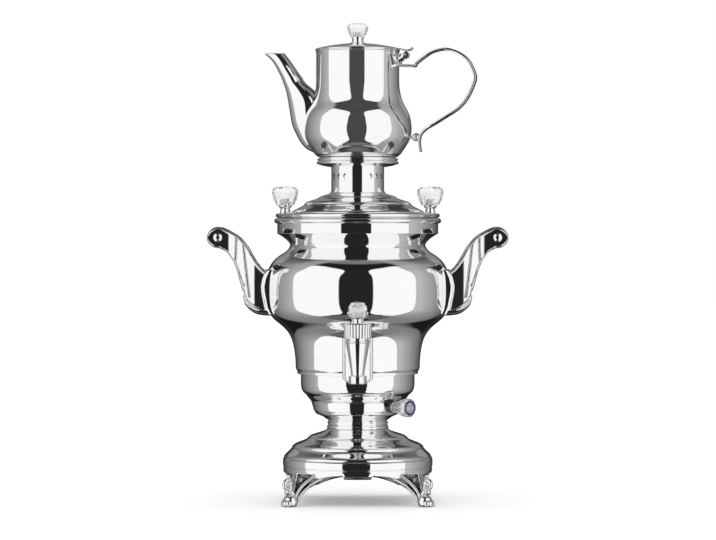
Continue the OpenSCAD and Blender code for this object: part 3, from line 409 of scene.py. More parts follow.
def makeRing(b):
    # the section's part under the ring is stretched so that it ends at the edge's height at each azimuth,
    # and curls in by a power of its share of the way down
    top, r, z0 = b["ringZ"], b["radius"], b["ringZ"] - b["archDrop"]
    section = softened([(r - 1, top + 14), (r, top + 12.6), (r, top + 5.7), (r - 1.1, top + 4.8), (r - 0.5, top + 4.1),
                        (r - 0.5, top), (r - 0.5, z0), (r - 5, z0), (r - 5, top),
                        (r - 8.5, top), (r - 8.5, top + 3.5), (r - 4.7, top + 3.5), (r - 4.7, top + 14)], 0.35, True)
    a = np.linspace(0, 2 * np.pi, 720, endpoint=False)
    edge = skirtEdge(b, a)[None, :]
    z = section[:, 1:]
    share = np.clip((top - z) / (top - z0), 0, 1)
    z = np.where(z < top, edge + (z - z0) * (top - edge) / (top - z0), z)
    q = section[:, :1] - b["curl"] * share ** 1.7 + 0 * a
    grid = np.stack([q * np.cos(a), q * np.sin(a), z], -1)
    dress(surface("baseRing", placed(grid), closedV=True), chromeSheet, "samovar", replaces=["base_ring"])


makeRing(base)
dress(turned("baseDome", domePath(base), 0.5), chromeSheet, "samovar", replaces=["base_dome"])


# legs: a hollow bracket between two pairs of beads that meet at the ankle, a paw with three toes and a curled leaf
leg = {"paw": 9.0, "at": 100.9,
       "turns": {"front_right": -45.0, "front_left": -135.0, "rear_left": 135.0, "rear_right": 45.0},
       "upper": [(78.6, 13.1, 31.2), (86.0, 7.2, 24.0), (92.5, 3.8, 15.8), (96.5, 3.2, 8.5)],
       "lower": [(76.0, 21.5, 28.3), (83.0, 11.0, 20.6), (90.2, 5.4, 12.0), (93.5, 4.0, 6.0)],
       "upperRod": (1.9, 1.7, 1.5, 1.4), "lowerRod": (1.5, 1.6, 1.5, 1.4),
       "side": [(1.5, 1.2, 14), (1.2, 3.0, 19), (3.0, 3.8, 23.6), (6.2, 3.2, 24.8)], "sideRod": (1.0, 1.6, 1.4, 0.5),
       "leaf": [(-5, 0, 4), (-4.5, 0, 12), (-0.5, 0, 18), (-1.0, 0, 24), (3.2, 0, 27.8), (7.6, 0, 25.2), (7.4, 0, 20.6),
                (4.0, 0, 19.6), (2.8, 0, 22.4)], "leafRod": (3.2, 2.6, 1.9, 2.3, 2.5, 2.3, 1.9, 1.4, 0.9), "toes": 32}
mirrored = np.array([1.0, -1.0, 1.0])


def ball(c, r, n=20):
    # a sphere about c
    t = np.linspace(-np.pi / 2, np.pi / 2, n)
    return spin(np.stack([r * np.cos(t), r * np.sin(t)], -1), 2 * n) + np.asarray(c, float)


def rod(points, r, n=16):
    # a round bar along a smooth curve through points, its radius blended along the curve, ends drawn to a point
    p = through(points, 48)
    d = np.gradient(p, axis=0)
    d /= np.linalg.norm(d, axis=1, keepdims=True)
    u = np.cross(d, (0.3, 0.9, 0.2))
    u /= np.linalg.norm(u, axis=1, keepdims=True)
    v = np.cross(d, u)
    a = np.linspace(0, 2 * np.pi, n, endpoint=False)[None, :, None]
    k = np.interp(np.linspace(0, 1, len(p)), np.linspace(0, 1, len(r)), r)[:, None, None]
    g = p[:, None] + k * (np.cos(a) * u[:, None] + np.sin(a) * v[:, None])
    return np.concatenate([p[:1, None] + 0 * g[:1], g, p[-1:, None] + 0 * g[-1:]])


def legWeb(g):
    # across each row: from the right upper bead over a hollow to the left one, down to the lower bead,
    # back under the leg and up again
    up, down = through(g["upper"], 40), through(g["lower"], 40)
    t = np.linspace(0, 1, 18, endpoint=False)[None, :, None]
    runs = [(up, up * mirrored, 3.2, (-0.8, 0, -0.6)), (up * mirrored, down * mirrored, 0.9, (0.1, 1, 0.2)),
            (down * mirrored, down, 2.0, (-1, 0, 0.3)), (down, up, 0.9, (0.1, -1, 0.2))]
    rows = np.concatenate([a[:, None] * (1 - t) + b[:, None] * t + 4 * deep * t * (1 - t) * np.array(way)
                           for a, b, deep, way in runs], 1)
    return drawnIn(rows)


def makeLeg(g, place, turn):
    r, x, name = g["paw"], g["at"], "leg" + place.title().replace("_", "")
    # the hollow web between the beads gets the dark chrome, painted shade for the recess
    dress(surface(name + "Web", placed(legWeb(g), turn), weld=True), chromeShade, "samovar")
    grids = []
    for side in (1, mirrored):
        grids += [rod(np.array(g["upper"]) * side, g["upperRod"]), rod(np.array(g["lower"]) * side, g["lowerRod"]),
                  rod((np.array(g["side"]) + (x, 0, 0)) * side, g["sideRod"])]
    grids.append(ball((x - 0.1 * r, 0, 0.62 * r), 0.86 * r))
    for a in (-g["toes"], 0, g["toes"]):
        c, w = math.cos(math.radians(a)), math.sin(math.radians(a))
        grids.append(ball((x + 0.62 * r * c, 0.62 * r * w, 0.4 * r), 0.42 * r))
        grids.append(ball((x + 0.93 * r * c, 0.93 * r * w, 0.2 * r), 0.17 * r, 10))
    # the leaf: a stalk up the instep that curls outwards over itself
    grids.append(rod(np.array(g["leaf"]) + (x, 0, 0), g["leafRod"]))
    pieces = []
    for k, grid in enumerate(grids):
        grid = np.concatenate([grid[..., :2], np.maximum(grid[..., 2:], 0.0)], -1)
        pieces.append(surface(name + str(k), placed(grid, turn), weld=True))
    dress(joinUp(name, pieces), chromeCast, "samovar", replaces=["leg_" + place])


for place, turn in leg["turns"].items():
    makeLeg(leg, place, turn)
print("base and legs made")


# neck and bowl
bowl = {"foot": 33.3, "cup": 47.3, "radius": 61.2, "bottom": 88.2, "top": 137.1, "sheet": 1.5}


def neckPath(b):
    r, z, h = b["neckRadius"], b["neckZ"], b["bowlZ"] - b["neckZ"]
    return line([(r - 6, z)], arc((r - 0.6, z + 0.2 * h), 0.2 * h, -90, 90),
                arc((r - 1.2, z + 0.62 * h), 0.2 * h, -80, 80), [(r, z + 0.9 * h), (r + 1.6, z + h), (r - 6, z + h)])


def bowlPath(b):
    z, h = b["bottom"], b["top"] - b["bottom"]
    cup = through([(b["foot"], z), (38.2, z + 0.066 * h), (43.4, z + 0.11 * h), (45.6, z + 0.14 * h)], 30)
    side = through([(48.3, z + 0.27 * h), (50.3, z + 0.40 * h), (52.7, z + 0.46 * h), (55.6, z + 0.54 * h),
                    (58.6, z + 0.595 * h), (60.3, z + 0.66 * h), (b["radius"], z + 0.76 * h)], 60)
    return line([(base["rodHole"], z), (b["foot"], z)], cup, [(b["cup"], z + 0.2 * h)], side, [(b["radius"], z + h)])


dress(turned("neckRing", neckPath(base), 0.3, True, turnStep=9), chromeSheet, "samovar", replaces=["neck_ring"])
dress(turned("lowerBowl", walled(bowlPath(bowl), bowl["sheet"]), 0.6), chromeSheet, "samovar", replaces=["lower_bowl"])


# tank: foot, cove, belly, shoulder, throat and the beaded rim
tank = {"foot": 65.0, "bottom": 137.1, "wall": 66.7, "cove": 143.0, "belly": (98.86, 229.0),
        "bellyTop": (94.7, 252.0), "throat": (72.6, 275.2), "band": (86.5, 287.6), "beadZ": 298.4, "bead": 2.8,
        "sheet": 1.5}


def tankPath(t):
    side = through([(t["wall"], t["cove"]), (67.1, 152.7), (67.8, 159.1), (68.8, 165.6), (70.4, 172), (72.3, 176.8),
                    (75.1, 181.6), (79.2, 186.4), (84.4, 190.9), (89.0, 194.6), (92.2, 197.9), (94.9, 201.8),
                    (96.9, 206.2), (98.1, 212), (98.7, 219), t["belly"], (98.3, 240), (97.1, 246.5), t["bellyTop"],
                    (92.1, 256.4), (88.5, 260.4), (83.6, 264.2), (78.3, 267.6), (74.6, 271), t["throat"]], 420)
    return line([(t["foot"], t["bottom"]), (t["foot"], t["cove"] - 3.2), (t["wall"] - 0.5, t["cove"] - 1.2)], side,
                flare(t["throat"], t["band"], 1.6), [(t["band"][0], t["beadZ"])])


def tankRim(t):
    return line(arc((t["band"][0] + 0.4, t["beadZ"] + t["bead"]), t["bead"], -88, 90),
                [(t["band"][0] - 1.5, t["beadZ"] + 2 * t["bead"])])


def tankShell(t):
    # up the outside, over the rim's bead, and down a sheet's thickness further in
    inner = walled(tankPath(t)[:-1], t["sheet"])
    return line(tankPath(t), tankRim(t), inner[len(inner) // 2:])


dress(turned("tankShell", tankShell(tank), 0.45, turnStep=5), chromeSheet, "samovar", replaces=["tank"])


# lid with its rolled edge, steps and the stand above
lid = {"radius": 88.2, "rim": 304.0, "top": 309.2, "domeRadius": 71.5, "stepLow": 57.0, "stepHigh": 41.9, "rise": 22.3,
       "collar": 28.4, "spigot": 84.6, "spigotDrop": 8.0, "bead": 2.3, "sheet": 1.6}


def lidPath(k):
    z, h, r, low = k["top"], k["rise"], k["spigot"], k["rim"] - k["spigotDrop"]
    bead, edgeR = k["bead"], k["radius"] - k["bead"]
    edge = line([(r - 1.5, low), (r, low), (r, k["rim"]), (edgeR, k["rim"] + 0.2)],
                arc((edgeR, z - bead), bead, -85, 90))
    dome = line(ogee((k["domeRadius"], z), (k["stepLow"], z + 0.49 * h)),
                ogee((k["stepLow"] - 0.8, z + 0.49 * h), (k["stepHigh"], z + 0.78 * h)),
                ogee((k["stepHigh"] - 0.8, z + 0.78 * h), (k["collar"] + 1.2, z + h)), [(k["collar"] - 6, z + h)])
    return line(edge, dome, (dome - (0, k["sheet"]))[::-1], [(r - 1.5, z - k["sheet"])])


dress(turned("lidShell", lidPath(lid), 0.45), chromeSheet, "lid", replaces=["lid_shell"])


# crystal-cut knobs: eight ribs run from a small foot to a scalloped crown, flat facets between
def crystalCut(r, h):
    # each level gives a share of the height and the radii at the ribs and between them
    cut = np.array([[0, 0, 0], [0, 0.62, 0.58], [0.06, 0.68, 0.63], [0.3, 0.88, 0.76], [0.62, 0.98, 0.9],
                    [0.76, 1, 0.9], [0.88, 0.94, 0.86], [0.97, 0.76, 0.7], [1, 0.66, 0.62], [0.985, 0.5, 0.48],
                    [0.985, 0, 0]])
    a = np.radians(np.arange(16) * 22.5)
    q = np.where(np.arange(16) % 2 == 0, cut[:, 1:2], cut[:, 2:3]) * r
    return np.stack([q * np.cos(a), q * np.sin(a), cut[:, :1] * h + 0 * a], -1)


def ferrulePath(foot, waist, top, h):
    # from a foot in to the waist and out again under the crystal
    return line([(2.1, 0), (foot, 0), (foot, 0.12 * h)], ogee((waist + 0.6, 0.16 * h), (waist, 0.55 * h)),
                ogee((waist, 0.55 * h), (top, 0.9 * h)), [(top, h), (2.1, h)])


# each has its crystal's radius and height, where it stands, and its ferrule's foot, waist and top radii and height
lidKnob = {"crystal": (14.2, 20.0), "x": 78.0, "z": lid["top"], "ferrule": (5.6, 5.0, 7.1, 8.6)}
potKnob = {"crystal": (11.3, 14.3), "x": 0.0, "z": 491.6, "ferrule": (8.6, 6.0, 6.6, 7.0)}
tapKnob = {"crystal": (9.8, 13.5), "y": -109.3, "z": 200.1}


def makeCrystal(name, size, lift, body, node):
    grid = placed(crystalCut(*size), lift=lift)
    dress(surface(name, grid, weld=True, smooth=False), crystalClear, body, [node])


def makeKnob(k, name, side, sign, body, node):
    # a crystal on its ferrule; side ends the names of the piece and, with node, of the solids it stands for
    end = "_" + side.lower() if side else ""
    x = sign * k["x"]
    makeCrystal(name + "Knob" + side, k["crystal"], (x, 0, k["z"] + k["ferrule"][3]), body, node + "_knob" + end)
    grid = placed(spin(softened(ferrulePath(*k["ferrule"]), 0.3, True), 64), lift=(x, 0, k["z"]))
    dress(surface(name + "Ferrule" + side, grid, closedV=True), chromeSheet, body, replaces=[node + "_ferrule" + end])


makeKnob(lidKnob, "lid", "Left", -1, "lid", "lid")
makeKnob(lidKnob, "lid", "Right", 1, "lid", "lid")
makeKnob(potKnob, "potLid", "", 1, "teapot_lid", "pot_lid")
makeCrystal("tapCrystal", tapKnob["crystal"], (0, tapKnob["y"], tapKnob["z"]), "tap_key", "tap_knob")
print("vessel and knobs made")


# the dish under the pot
dish = {"radius": 44.1, "bottom": 359.0, "collar": 28.4, "vent": 8.0}


def dishPath(d):
    r, z = d["radius"], d["bottom"]
    under = through([(d["collar"] + 3, z + 0.3), (r - 8, z + 1.2), (r - 1.6, z + 3)], 30)
    return line([(d["vent"], z), (d["collar"], z)], under, arc((r - 1.5, z + 4.5), 1.5, -80, 80),
                arc((r - 2.2, z + 8.2), 1.4, -70, 90),
                [(r - 2.9, z + 9.6), (r - 2.9, z + 4.2), (r - 6, z + 1.5), (d["vent"], z + 1.5)])


dress(turned("standDish", dishPath(dish), 0.3), chromeSheet, "lid", replaces=["stand_dish"])


# teapot: body, spout, strap handle, ball stud and lid; it stands turned on the vessel
pot = {"foot": 40.4, "bottom": 360.5, "belly": (57.9, 401.0), "neck": 44.6, "rim": 484.3, "turn": -12.0, "sheet": 1.2}


def onStand(grid):
    return placed(grid, pot["turn"])


def potPath(p):
    z, neck, rim = p["bottom"], p["neck"], p["rim"]
    side = through([(p["foot"] + 2, z + 9.3), (45.8, 372.4), (47.9, 375.2), (52.2, 381.6), (55.8, 388.1),
                    (57.5, 394.5), p["belly"], (57.3, 407.4), (56.0, 413.9), (53.3, 420.3), (49.7, 426.8),
                    (47.2, 433.2), (45.7, 439.7), (44.8, 446.0), (neck, 452.0)], 160)
    return line([(0, z), (p["foot"] - 5, z), (p["foot"], z + 5), (p["foot"], z + 8.8)], side,
                [(neck, rim - 1.6), (neck + 0.7, rim - 1.2), (neck + 0.7, rim)])


def potShell(p):
    outer = potPath(p)
    inner = walled(outer, p["sheet"])
    inner = inner[len(inner) // 2:]
    inner[:, 0] = np.maximum(inner[:, 0], 0)
    return line(outer, inner, [(0, p["bottom"] + p["sheet"])])


dress(turned("potBody", potShell(pot), 0.4, closed=False, lay=onStand), chromePot, "teapot", replaces=["pot_body"])

# level cuts of the spout from root to mouth: share of height, outer edge, inner edge, half width
spout = {"low": 373.0, "top": 481.6, "reach": 102.6, "width": 15.0, "sheet": 1.1, "lip": 0.45,
         "cuts": [(0, 0.43, 0.33, 0.6), (0.05, 0.54, 0.33, 0.82), (0.11, 0.604, 0.33, 1.0), (0.2, 0.658, 0.33, 1.14),
                  (0.29, 0.7, 0.33, 1.2), (0.41, 0.726, 0.335, 1.14), (0.525, 0.746, 0.36, 1.03),
                  (0.625, 0.768, 0.455, 0.92), (0.705, 0.796, 0.557, 0.83), (0.765, 0.821, 0.6, 0.77),
                  (0.82, 0.85, 0.643, 0.73), (0.88, 0.884, 0.687, 0.68), (0.94, 0.929, 0.732, 0.6), (1, 1, 0.783, 0.5)]}


def spoutRings(s, t):
    # each level is an ellipse between the outer and the inner edge, t thinner all round
    cuts = through(s["cuts"], 90)
    a = np.linspace(0, 2 * np.pi, 64, endpoint=False)
    out, back = cuts[:, 1:2] * s["reach"] - t, cuts[:, 2:3] * s["reach"] + t
    half = cuts[:, 3:4] * s["width"] - t
    z = s["low"] + cuts[:, :1] * (s["top"] - s["low"])
    return np.stack([-(out + back) / 2 - (out - back) / 2 * np.cos(a), half * np.sin(a), z + 0 * a], -1)


def makeSpout(s):
    outer, inner = spoutRings(s, 0), spoutRings(s, s["sheet"])
    lip = (outer[-1:] + inner[-1:]) / 2 + (0, 0, s["lip"])
    grid = np.concatenate([outer, lip, inner[::-1]])
    dress(surface("potSpout", onStand(grid), closedV=True), chromeSheet, "teapot", replaces=["pot_spout"])


makeSpout(spout)

strap = {"width": 11.0, "thick": 2.7, "reach": 85.2, "foot": 467.9, "low": 375.5,
         "line": [(0.228, 1.02), (0.332, 1.092), (0.443, 1.152), (0.603, 1.18), (0.738, 1.15), (0.852, 1.084),
                  (0.923, 1.003), (0.979, 0.863), (0.953, 0.754), (0.872, 0.605), (0.76, 0.491), (0.599, 0.396),
                  (0.483, 0.33), (0.356, 0.262), (0.292, 0.2), (0.271, 0.135), (0.274, 0.07), (0.285, -0.006)]}


def makeStrap(s):
    # the strap's line as shares of its reach and of its height; it starts flat on the neck and narrows at its tail
    p = line([(-0.001, 1.0), (0.19, 0.99), (0.215, 0.985)], through(s["line"], 260))
    p = np.stack([pot["neck"] + p[:, 0] * s["reach"], s["low"] + p[:, 1] * (s["foot"] - s["low"])], -1)
    p = evened(softened(p, 1.6, False, 1.0, 0.3), 1.0)
    section = roundedBox(s["thick"], s["width"], 0.8)
    narrow = np.interp(np.arange(len(p)), [0, len(p) - 34, len(p) - 10], [1, 1, 0.72])
    return alongPath("strap", p, section, lay=onStand, scale=narrow)


dress(makeStrap(strap), chromeSheet, "teapot", replaces=["pot_handle"])

potLid = {"rim": 484.3, "radius": 45.5, "rise": 7.3, "edge": 0.95, "spigot": 43.0, "screwHole": 2.1}


def potLidPath(k):
    # a half-round edge, a crown that flattens towards the ferrule's foot, and the spigot under it
    rim, hole, foot = k["rim"], k["screwHole"], potKnob["ferrule"][0]
    turn = np.linspace(-np.pi / 2, np.pi / 2, 14)
    edge = np.stack([k["radius"] + k["edge"] * (np.cos(turn) - 1), rim + k["edge"] * (1 + np.sin(turn))], -1)
    r = pot["neck"] + (foot - pot["neck"]) * np.linspace(0, 1, 60)
    low = 2 * k["edge"]
    crown = np.stack([r, rim + low + (k["rise"] - low) * (1 - ((r - foot) / (pot["neck"] - foot)) ** 1.6)], -1)
    return line(edge, crown, [(hole, rim + k["rise"]), (hole, rim + 5)], crown[::-1] - (1.2, 1.3),
                [(k["spigot"] - 1.5, rim), (k["spigot"] - 1.5, rim - 2), (k["spigot"], rim - 2), (k["spigot"], rim)])


dress(turned("potLid", potLidPath(potLid), 0.35, lay=onStand), chromeSheet, "teapot_lid", replaces=["pot_lid"])


# hinge: a leaf with a curled tail and its barrel on the lid; two cheeks, their arms and a plate on the pot
hinge = {"at": (52.4, 478.8), "radius": 3.9, "leafWidth": 4.2, "cheek": 1.8, "gap": 0.3, "webTop": 484.2,
         "tail": [(36.8, 487.0), (46, 485.2), (53, 484.0), (57.6, 484.4), (60.4, 486.6)],
         "arm": [(44.4, 473.0), (48.4, 474.6)], "plate": [(46.2, 467.6), (46.2, 480.4)]}


def barrel(name, y0, y1, body, replaces=()):
    # a short round bar across the pot, its ends rounded off
    r = hinge["radius"]
    p = softened([(0, y0), (r, y0), (r, y1), (0, y1)], 0.4, False, 8, 2)
    g = spin(p, 48)
    g = np.stack([g[..., 0] + hinge["at"][0], g[..., 2], hinge["at"][1] - g[..., 1]], -1)
    dress(surface(name, onStand(g), weld=True), chromeCast, body, replaces=replaces)


def makeHinge(h):
    tail = evened(through(h["tail"], 60), 0.8)
    thin = np.interp(np.arange(len(tail)), [0, 3, len(tail) - 4, len(tail) - 1], [0.8, 1, 1, 0.7])
    dress(alongPath("hingeTail", tail, roundedBox(1.7, 2 * h["leafWidth"], 0.7), lay=onStand, scale=thin), chromeCast,
          "teapot_lid", replaces=["hinge_leaf"])
    half = h["leafWidth"] / 2  # the leaf itself is twice as wide as its barrel
    barrel("hingeBarrel", -half, half, "teapot_lid")
    web = evened([(h["at"][0], h["at"][1] + 1), (h["at"][0], h["webTop"])], 0.8)
    dress(alongPath("hingeWeb", web, roundedBox(3.4, 2 * half, 0.6), lay=onStand), chromeCast, "teapot_lid")
    for side, sign in (("Front", -1), ("Back", 1)):
        near, far = sorted((sign * (half + h["gap"]), sign * (half + h["gap"] + h["cheek"])))
        barrel("hingeCheek" + side, near, far, "teapot", ["hinge_bracket"] if sign < 0 else [])
        arm, section = evened(h["arm"] + [h["at"]], 0.8), roundedBox(5.0, h["cheek"], 0.6) + (0, (near + far) / 2)
        dress(alongPath("hingeArm" + side, arm, section, lay=onStand), chromeCast, "teapot")
    plate = evened(h["plate"], 0.9)
    dress(alongPath("hingePlate", plate, roundedBox(3.2, 7.6, 0.7), lay=onStand), chromeCast, "teapot")


makeHinge(hinge)
print("teapot made")


# tap: a tapered barrel in front of a rounded shield, a ribbed cap, and the pipe back to the vessel
tap = {"reach": 109.3, "top": 178.6, "coneTop": 12.9, "coneFoot": 6.8, "coneLow": 140.2, "nozzle": 9.4,
       "nozzleLow": 131.1, "nozzleBore": 5.6, "shieldHalf": 16.0, "shieldEnd": 6.0, "shieldRound": 8.0, "bow": 0.0145,
       "shieldThick": 3.0, "shieldAt": 7.4, "capRadius": 14.6, "capHeight": 15.5, "ribs": 22, "ribDepth": 0.75,
       "pipe": 10.0, "pipeZ": 165.1}


def onTap(grid):
    return placed(grid, lift=(0, -tap["reach"], 0))


def tapCone(t):
    top, low, foot = t["top"], t["coneLow"], t["coneFoot"]
    side = through([(foot, low), (foot + 2.2, low + 14), (t["coneTop"] - 0.9, top - 7)], 40)
    cone = line([(0, low - 3), (foot, low - 3)], side, arc((t["coneTop"] - 1.0, top - 3.6), 1.3, -70, 70, 12),
                [(t["coneTop"] - 1.2, top), (0, top)])
    return surface("tapCone", onTap(spin(softened(cone, 0.3, False, 4), 96)), weld=True)


def tapNozzle(t):
    r, low, top, bore = t["nozzle"], t["nozzleLow"], t["coneLow"], t["nozzleBore"]
    ring = [(bore, low), (r - 0.8, low), (r, low + 0.8), (r, top - 0.8), (r - 0.8, top), (bore, top)]
    return surface("tapNozzle", onTap(spin(softened(ring, 0.25, True), 96)), closedV=True)


def tapShield(t):
    # level rows across a bowed plate that rounds off below, as half a superellipse, with a raised rim
    w, thick, low, high = t["shieldHalf"], t["shieldThick"], t["nozzleLow"], t["top"] - t["nozzleLow"]
    v = np.linspace(0, 1, 48)
    share = np.clip((t["shieldRound"] - v * high) / t["shieldRound"], 0, 1)
    half = w * (1 - share ** 2.6) ** (1 / 2.6)
    half[0] = t["shieldEnd"]
    loop = line([(1, 1), (-1, 1), (-1, 0), (-0.93, -0.35), (-0.84, -0.3), (-0.8, 0.1), (-0.4, 0.1), (0, 0.1),
                 (0.4, 0.1), (0.8, 0.1), (0.84, -0.3), (0.93, -0.35), (1, 0)])
    loop = softened(loop * (w, thick), 0.5, True, 12, 3) / (w, thick)
    across = half[:, None] * loop[None, :, 0]
    grid = np.stack([across, t["shieldAt"] + thick * loop[None, :, 1] + t["bow"] * across ** 2,
                     low + v[:, None] * high + 0 * loop[None, :, 0]], -1)
    return surface("tapShield", onTap(drawnIn(grid)), weld=True, sharp=50)


def tapPipe(t):
    # level from the shield to the vessel, with a nut against the wall
    r, front = t["pipe"], -t["reach"] + 3
    path = line([(0, front), (r - 1, front), (r, -t["reach"] + 8), (r - 1.5, -92), (r - 1.5, -84), (r + 2.5, -81),
                 (r + 2.5, -78), (7, -77), (7, -62), (0, -62)])
    pipe = spin(softened(path, 0.8, False), 72)
    return surface("tapPipe", placed(np.stack([pipe[..., 0], pipe[..., 2], t["pipeZ"] + pipe[..., 1]], -1)), weld=True)


def tapCap(t):
    # the radius swells in a rounded rib at each step round, and dips in a narrow groove between
    h, r = t["capHeight"], t["capRadius"]
    path = softened([(0, 0), (r, 0), (r, h - 1.2), (r - 1.4, h), (6.8, h), (6.4, h + 0.4), (5.0, h + 4.6),
                     (5.8, h + 5.9), (0, h + 5.9)], 0.35, False, 5, 1.2)
    a = np.linspace(0, 2 * np.pi, t["ribs"] * 24, endpoint=False)[None, :]
    rib = np.abs(np.cos(t["ribs"] / 2 * a)) ** 0.6 - 1
    share = np.clip((path[:, :1] - 12.5) / 1.5, 0, 1) * np.clip(path[:, 1:] / 0.8, 0, 1)
    q = path[:, :1] + t["ribDepth"] * share * rib
    grid = np.stack([q * np.cos(a), q * np.sin(a), t["top"] + path[:, 1:] + 0 * a], -1)
    return surface("tapCap", onTap(grid), weld=True)


dress(tapCone(tap), chromeCast, "samovar", replaces=["tap_body"])
for make in (tapNozzle, tapShield, tapPipe):
    dress(make(tap), chromeCast, "samovar")
dress(tapCap(tap), chromeCast, "tap_key", replaces=["tap_cap"])


# side handles: two cast arms, bent outwards to the grip, on a boss that lies against the belly
handle = {"hub": (148.8, 283.4), "hubRadius": 11.3, "arm": 32.0, "thick": 9.0, "draw": 9.5, "bend": (101.0, 147.0),
          "edge": 3.5, "bead": 3.2, "boss": 31.0, "bossDepth": 9.0,
          "grooves": [((129.5, 283.5), (130.3, 259.9)), ((122.2, 275.4), (115.9, 220.5))],
          "rod": 2.9, "rodHead": [(4.7, 36.2), (4.7, 36.8), (3.9, 38.0), (2.2, 38.9), (0, 39.2)]}


def lineDistance(p, a, b):
    # distance of each point from the stretch between a and b
    a, b = np.array(a), np.array(b)
    t = np.clip(((p - a) @ (b - a)) / ((b - a) @ (b - a)), 0, 1)[..., None]
    return np.linalg.norm(p - a - t * (b - a), axis=-1)


def armEdges(h, n=220):
    # the upper and the lower edge of an arm, both from the hub's far end to the root, with as many points each
    (x, z), r = h["hub"], h["hubRadius"]
    top = line(arc((x, z), r, 0, 118, 60),
               through([(x - 10.5, z + 7.6), (127.2, 284.0), (117.9, 273.4), (112.9, 264.8), (107.2, 255.5),
                        (100.7, 248.3), (92.0, 243.5), (86.0, 241.0)], 120))
    low = line(arc((x, z), r, 0, -72, 40),
               through([(x - 2.0, z - 11.6), (140.0, 268.2), (135.2, 262.4), (131.4, 255.4), (128.2, 246.0),
                        (123.6, 229.4), (121.2, 224.7), (122.0, 220.4), (120.1, 211.8), (114.3, 205.3),
                        (107.2, 201.4), (97.8, 200.0), (86.0, 200.0)], 160))
    out = []
    for p in (evened(top, 0.3), evened(low, 0.3)):
        s, t = np.linspace(0, 1, len(p)), np.linspace(0, 1, n)
        out.append(np.stack([np.interp(t, s, p[:, 0]), np.interp(t, s, p[:, 1])], -1))
    return out


def armGrid(h, outward):
    # rows run along the arm and columns round its section: out over the face from the upper to the lower edge,
    # then back over the inner side; the face's depth is a smooth bend in x, rounded edges, a half-round bead
    # along the lower edge with a fine groove on both sides, and the straight grooves
    top, low = armEdges(h)
    w = np.r_[0, np.sin(np.linspace(0.02, 0.98, 61) * np.pi / 2) ** 2, 1]
    w = np.sort(np.r_[w, np.linspace(0.45, 0.97, 70)])
    p = top[:, None, :] * (1 - w[None, :, None]) + low[:, None, :] * w[None, :, None]
    across = np.hypot(*(top - low).T)[:, None]
    near = np.minimum(w[None, :] * across, (1 - w[None, :]) * across)
    r = h["edge"]
    fall = r - np.sqrt(np.maximum(r ** 2 - (r - np.minimum(near, r)) ** 2, 0))
    bevel = 1.6 * np.clip(1 - w[None, :] * across / 3.4, 0, 1) ** 1.5
    along = np.linspace(0, 1, len(top))[:, None]
    on = np.clip((along - 0.335) / 0.05, 0, 1) * (1 - np.clip(1 - np.abs(along - 0.7) / 0.03, 0, 1))
    fromBead = np.abs((1 - w[None, :]) * across - h["bead"] - 0.5)
    half = np.sqrt(np.maximum(h["bead"] ** 2 - np.minimum(fromBead, h["bead"]) ** 2, 0))
    bead = on * (half * np.where(along > 0.7, 1.0, 0.62) - 0.9 * np.exp(-((fromBead - h["bead"]) / 0.55) ** 2))
    cut = sum(2.4 * np.exp(-(lineDistance(p, *g) / 0.7) ** 2) for g in h["grooves"])
    t = np.clip((p[..., 0] - h["bend"][0]) / (h["bend"][1] - h["bend"][0]), 0, 1)
    bend = h["draw"] * (1 - t * t * (3 - 2 * t))
    outer, inner = h["arm"] + h["thick"] / 2, h["arm"] - h["thick"] / 2
    face = outer - bend - fall - bevel - cut + np.minimum(bead, 0) + np.maximum(bead, 0) * (fall < 0.9 * r)
    back = inner - bend + fall
    x = np.concatenate([p[..., 0], p[:, ::-1, 0]], 1)
    z = np.concatenate([p[..., 1], p[:, ::-1, 1]], 1)
    y = np.concatenate([np.minimum(face, outer), back[:, ::-1]], 1)
    return drawnIn(np.stack([x, outward * y, z], -1))


def bossGrid(h):
    # each level is a superellipse from inside the vessel to a few millimetres off the belly's outline
    z = np.r_[200.6, np.linspace(201.0, 248.5, 50), 249.0]
    edge = np.interp(z, [200, 208.9, 224.7, 231.5, 240, 247.9, 249], [98, 102.1, 105.1, 105.6, 103.8, 100.4, 99.5])
    shrink = np.r_[0.8, 0.4, np.zeros(48), 0.4, 0.8]
    a = np.linspace(0, 2 * np.pi, 96, endpoint=False)
    c, s = np.cos(a), np.sin(a)
    e = 0.34
    x = edge[:, None] - h["bossDepth"] + (h["bossDepth"] - shrink[:, None]) * np.sign(c) * np.abs(c) ** e
    y = (h["boss"] - shrink[:, None]) * np.sign(s) * np.abs(s) ** e
    return drawnIn(np.stack([x - 2.0 * (y / h["boss"]) ** 2, y, z[:, None] + 0 * x], -1))


def gripRod(h, sign):
    # the rod through the grip, with a domed head at both ends
    end = h["rodHead"]
    path = line([(r, -y) for r, y in end[::-1]], [(h["rod"], -end[0][1]), (h["rod"], end[0][1])], end)
    bolt = spin(softened(path, 0.3, False, 6, 6), 48)
    return np.stack([bolt[..., 0] + sign * h["hub"][0], bolt[..., 2], h["hub"][1] - bolt[..., 1]], -1)


for side, sign in (("Left", -1), ("Right", 1)):
    for name, outward in (("Front", -1), ("Back", 1)):
        arm = armGrid(handle, outward) * (sign, 1, 1)
        dress(surface("arm" + side + name, placed(arm), weld=True), chromeCast, "samovar",
              replaces=["handle_" + side.lower()] if outward < 0 else [])
    dress(surface("boss" + side, placed(bossGrid(handle) * (sign, 1, 1)), weld=True), chromeCast, "samovar")
    dress(surface("gripRod" + side, placed(gripRod(handle, sign)), weld=True), chromeCast, "samovar",
          replaces=["grip_rod_" + side.lower()])
print("tap and side handles made")


